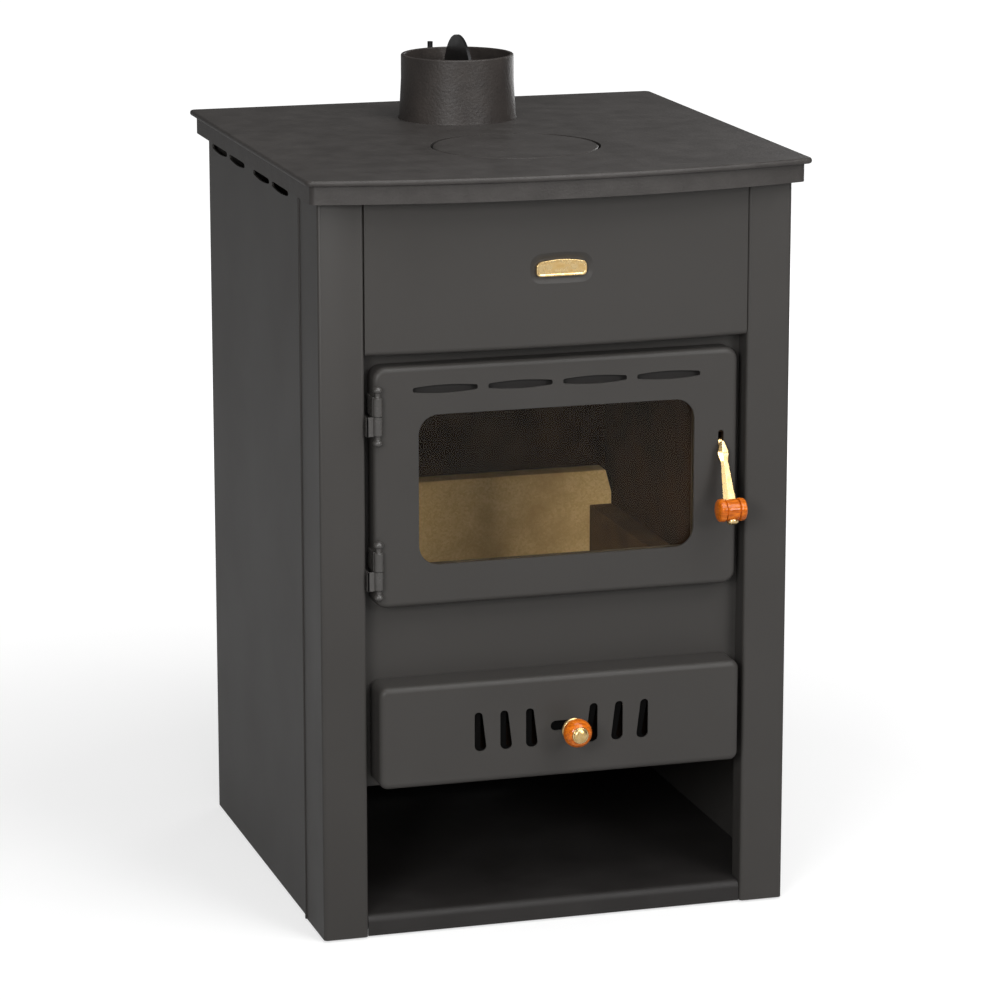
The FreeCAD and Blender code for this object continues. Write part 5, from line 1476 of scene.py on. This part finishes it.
@dataclass
class AshDrawer:
    """The pressed drawer front with its tapered air slots, and the knob of the air slide."""

    sheet: float = 2.0
    edge: float = 6.5
    corner: float = 9.0
    slots: int = 3
    slot_below: float = 33.5
    slot_above: float = 33.0
    slot_wide: float = 13.3
    slot_narrow: float = 8.2
    slot_first: float = 32.0
    slot_pitch: float = 27.5
    knob_slot: float = 10.5
    knob_run: float = 12.0
    ball: float = 15.0
    ball_flat: float = 0.8
    ball_forward: float = 3.0
    ball_end: int = 66
    ball_step: int = 6
    cap_sunk: float = 2.2
    stem: float = 3.6

    def build(self) -> None:
        """Builds and installs the pieces."""
        self.front()
        self.knob()

    def front(self) -> None:
        """The pressed front, cut for the air slots and the knob's stem."""
        low, high = node_box("drawer_front")
        front = pressed_front("drawer_pressed_front", "drawer_front", self.corner, self.edge, self.sheet)
        through = (low.y - PAST, low.y + self.sheet + PAST)
        bottom, top = low.z + self.slot_below, high.z - self.slot_above
        level, half = (bottom + top) / 2, self.knob_slot / 2
        knob_slot = Workpiece.rounded("drawer_knob_slot_tool", at(-self.knob_run, through[0], level - half),
                                      at(self.knob_run, through[1], level + half), half * 0.98, 8)
        right = self.air_slot(through, bottom, top)
        left = right.mirrored("drawer_slot_tool_left")
        places = [self.slot_first + i * self.slot_pitch for i in range(self.slots)]
        front.combine(Blend.CUT, knob_slot, *right.repeat(places),
                      *left.repeat([-place for place in places]))
        front.soften(0.6, 3, 50).install("drawer", PAINT, "drawer_front")

    def air_slot(self, through: Pair, bottom: float, top: float) -> Workpiece:
        """A slot cutter about X 0 that narrows upwards, its right side straight.

        Args:
            through: the cutter's front and back.
            bottom: the slot's lower end.
            top: the slot's upper end.

        Returns:
            The cutter.
        """
        half = self.slot_wide / 2
        tool = Workpiece.block("drawer_slot_tool_right", at(-half, through[0], bottom),
                               at(half, through[1], top))
        tool.edit()
        tool.pick(Element.EDGE, lambda middle, way: runs_back(middle, way) and middle.z > top - NEAR
                  and middle.x < 0)
        tool.move(self.slot_wide - self.slot_narrow, 0, 0)
        tool.round_off(lambda middle, way: runs_back(middle, way) and middle.z < bottom + NEAR,
                       self.slot_wide * 0.47, 8)
        return tool.round_off(lambda middle, way: runs_back(middle, way) and middle.z > top - NEAR,
                              self.slot_narrow * 0.47, 6)

    def knob(self) -> None:
        """The knob: a flattened wooden ball, a brass flange behind it and a brass cap in front."""
        spot = middle_of("knob_ball")
        turns = [math.radians(a) for a in range(-self.ball_end, self.ball_end + 1, self.ball_step)]
        ball = Workpiece.lathe("turned_knob_ball", [
            (self.ball * math.cos(a), self.ball * self.ball_flat * math.sin(a)) for a in turns], 64)
        ball.lay(Axis.Y, spot.x, spot.y - self.ball_forward, spot.z)
        ball.soften(0.3).install("air_control", WOOD, "knob_ball")
        cap = Workpiece.lathe("brass_knob_cap", [
            (1.0, 0.0), (3.6, 0.15), (5.8, 0.8), (7.0, 1.7), (7.3, 2.6), (8.2, 2.7), (8.8, 3.5), (8.9, 5.6),
            (8.4, 7.4)], 48)
        cap.lay(Axis.Y, spot.x, node_box("knob_cap")[0].y + self.cap_sunk, spot.z)
        cap.soften(0.2).install("air_control", BRASS, "knob_cap")
        low, high = node_box("knob_ferrule")
        length, front = high.y - low.y, -6.2
        ring = Workpiece.lathe("brass_knob_ferrule", [
            (self.stem, front), (11.6, front), (12.7, front + 1.0), (12.8, front + 2.4), (11.8, front + 3.6),
            (8.0, front + 4.8), (6.9, 1.2), (6.4, length), (self.stem, length), (self.stem, front)],
            48, closed=True)
        ring.lay(Axis.Y, spot.x, low.y, spot.z)
        ring.soften(0.2).install("air_control", BRASS, "knob_ferrule")


@dataclass
class Lining:
    """Vermiculite boards round the fire, their edges worn round."""

    worn: float = 1.6
    taper: float = 7.0
    taper_height: float = 26.0

    def build(self) -> None:
        """Builds and installs the pieces."""
        for side in ("left", "right"):
            board = Workpiece.block(f"{side}_board_worn", *node_box(f"{side}_lining"))
            # The side boards' dark brown is partly soot and partly painted shade.
            board.soften(self.worn, 3).install("stove", SOOT_AND_SHADE_BOARD, f"{side}_lining")
        low, high = node_box("back_lining")
        board = Workpiece.block("back_board_worn", low, high)
        board.edit()
        bpy.ops.mesh.select_all(action="SELECT")
        bpy.ops.mesh.bisect(plane_co=at(0, 0, high.z - self.taper_height) * MM, plane_no=(0, 0, 1))
        for side in (-1, 1):
            board.pick(Element.EDGE, lambda middle, way: runs_back(middle, way) and middle.z > high.z - NEAR
                       and middle.x * side > 1)
            board.move(-side * self.taper, 0, 0)
        board.soften(self.worn, 3, 30).install("stove", BOARD, "back_lining")


# Stage

@dataclass(frozen=True)
class Lamp:
    """A soft square lamp: its name, its place and side in metres, and its power in watts."""

    name: str
    place: Triple
    side: float
    power: float


LAMPS = (
    Lamp("key", (1.2, -2.2, 3.1), 1.8, 52.0),
    Lamp("upper", (-0.8, -3.2, 3.0), 1.6, 22.0),
    Lamp("rear", (2.4, 2.8, 0.9), 1.6, 34.0),
    Lamp("left", (-2.4, -3.6, 1.75), 1.2, 88.0),
    Lamp("right", (1.65, -3.8, 1.65), 1.2, 44.0),
    Lamp("overhead", (0.0, -0.6, 3.0), 1.6, 30.0),
)


@dataclass
class Studio:
    """White floor and surroundings, soft lamps and the camera at the photograph's place, in metres."""

    camera_place: Triple = (-1.26601, -4.24698, 1.45050)
    camera_pitch: float = 0.2324
    camera_yaw: float = 0.2907
    lens: float = 152.89
    sensor: float = 36.0
    sight: float = 200.0
    aim: Triple = (0.0, 0.0, 0.45)
    floor: float = 80.0
    floor_colour: str = "#b0b0b0"
    white: str = "#ffffff"
    # The floor's own glow rises outwards, as the lamps' light on it falls.
    glow_from: float = 0.6
    glow_to: float = 2.2
    glow_near: float = 0.62
    gleam: float = 0.25
    daylight: float = 0.12

    def build(self) -> None:
        """Sets up the stage."""
        self.camera()
        self.ground()
        self.sky()
        for lamp in LAMPS:
            self.light(lamp)
        bpy.context.scene.view_settings.view_transform = "Standard"

    def camera(self) -> None:
        """The camera, tilted down a little and without shift."""
        data = bpy.data.cameras.new("photograph_view")
        data.lens = self.lens
        data.sensor_width = self.sensor
        data.clip_end = self.sight
        camera = bpy.data.objects.new("photograph_view", data)
        camera.location = self.camera_place
        camera.rotation_euler = (math.pi / 2 - self.camera_pitch, 0, -self.camera_yaw)
        bpy.context.collection.objects.link(camera)
        bpy.context.scene.camera = camera

    def ground(self) -> None:
        """The floor, which the camera sees as white with the stove's shadow on it."""
        clear_bench()
        bpy.ops.mesh.primitive_plane_add(size=self.floor)
        floor = bpy.context.object
        floor.name = "studio_floor"
        made = bpy.data.materials.new("white_studio_floor")
        made.use_nodes = True
        tree = made.node_tree
        tree.nodes.clear()
        matt = add(tree, "ShaderNodeBsdfDiffuse", {"Color": linear(self.floor_colour)})
        spot = add(tree, "ShaderNodeTexCoord").outputs["Object"]
        reach = add(tree, "ShaderNodeVectorMath", {0: spot}, operation="LENGTH")
        level = add(tree, "ShaderNodeMapRange", {
            "Value": reach.outputs["Value"], "From Min": self.glow_from, "From Max": self.glow_to,
            "To Min": self.glow_near, "To Max": 1.0})
        glow = add(tree, "ShaderNodeEmission", {"Color": linear(self.white), "Strength": level.outputs[0]})
        both = add(tree, "ShaderNodeAddShader", {0: matt.outputs[0], 1: glow.outputs[0]})
        path = add(tree, "ShaderNodeLightPath")
        seen = add(tree, "ShaderNodeMath", {0: path.outputs["Is Glossy Ray"], 1: self.gleam},
                   operation="MULTIPLY")
        for ray in ("Is Camera Ray", "Is Transmission Ray"):
            seen = add(tree, "ShaderNodeMath", {0: seen.outputs[0], 1: path.outputs[ray]}, operation="MAXIMUM")
        mixed = add(tree, "ShaderNodeMixShader", {0: seen.outputs[0], 1: matt.outputs[0], 2: both.outputs[0]})
        add(tree, "ShaderNodeOutputMaterial", {"Surface": mixed.outputs[0]})
        floor.data.materials.append(made)

    def sky(self) -> None:
        """The surroundings: a weak even light, seen as white."""
        world = bpy.data.worlds.new("white_studio")
        world.use_nodes = True
        tree = world.node_tree
        tree.nodes.clear()
        path = add(tree, "ShaderNodeLightPath")
        seen = add(tree, "ShaderNodeMath", {
            0: path.outputs["Is Camera Ray"], 1: path.outputs["Is Transmission Ray"]}, operation="MAXIMUM")
        level = add(tree, "ShaderNodeMapRange", {
            "Value": seen.outputs[0], "To Min": self.daylight, "To Max": 1.0})
        glow = add(tree, "ShaderNodeBackground", {"Color": linear(self.white), "Strength": level.outputs[0]})
        add(tree, "ShaderNodeOutputWorld", {"Surface": glow.outputs[0]})
        bpy.context.scene.world = world

    def light(self, lamp: Lamp) -> None:
        """Sets up a lamp, aimed at the middle of the stove.

        Args:
            lamp: the lamp.
        """
        data = bpy.data.lights.new(lamp.name, "AREA")
        data.size = lamp.side
        data.energy = lamp.power
        made = bpy.data.objects.new(lamp.name, data)
        made.location = lamp.place
        made.rotation_euler = (Vector(self.aim) - Vector(lamp.place)).to_track_quat("-Z", "Y").to_euler()
        bpy.context.collection.objects.link(made)


def dress_nodes() -> None:
    """Gives every CAD node the finish of its material slot."""
    for row in frame["record"]["subparts"]:
        node = frame["nodes"][row["node"]]
        made = FINISH_OF_NODE.get(row["node"], FINISH_OF_SLOT[row["material_slot"]]).material()
        for slot in node.material_slots:
            slot.material = made
        LOG.info("%s dressed as %s", row["node"], made.name)


def main() -> None:
    """Dresses the CAD nodes, and builds the stage and the stove."""
    logging.basicConfig(level=logging.INFO, format="%(name)s: %(message)s")
    dress_nodes()
    for assembly in (Studio(), Casing(), UpperPanel(), Hob(), FireDoor(), DoorHandle(), AshDrawer(), Lining()):
        assembly.build()
        LOG.info("%s built", type(assembly).__name__)


if __name__ == "__main__":
    main()
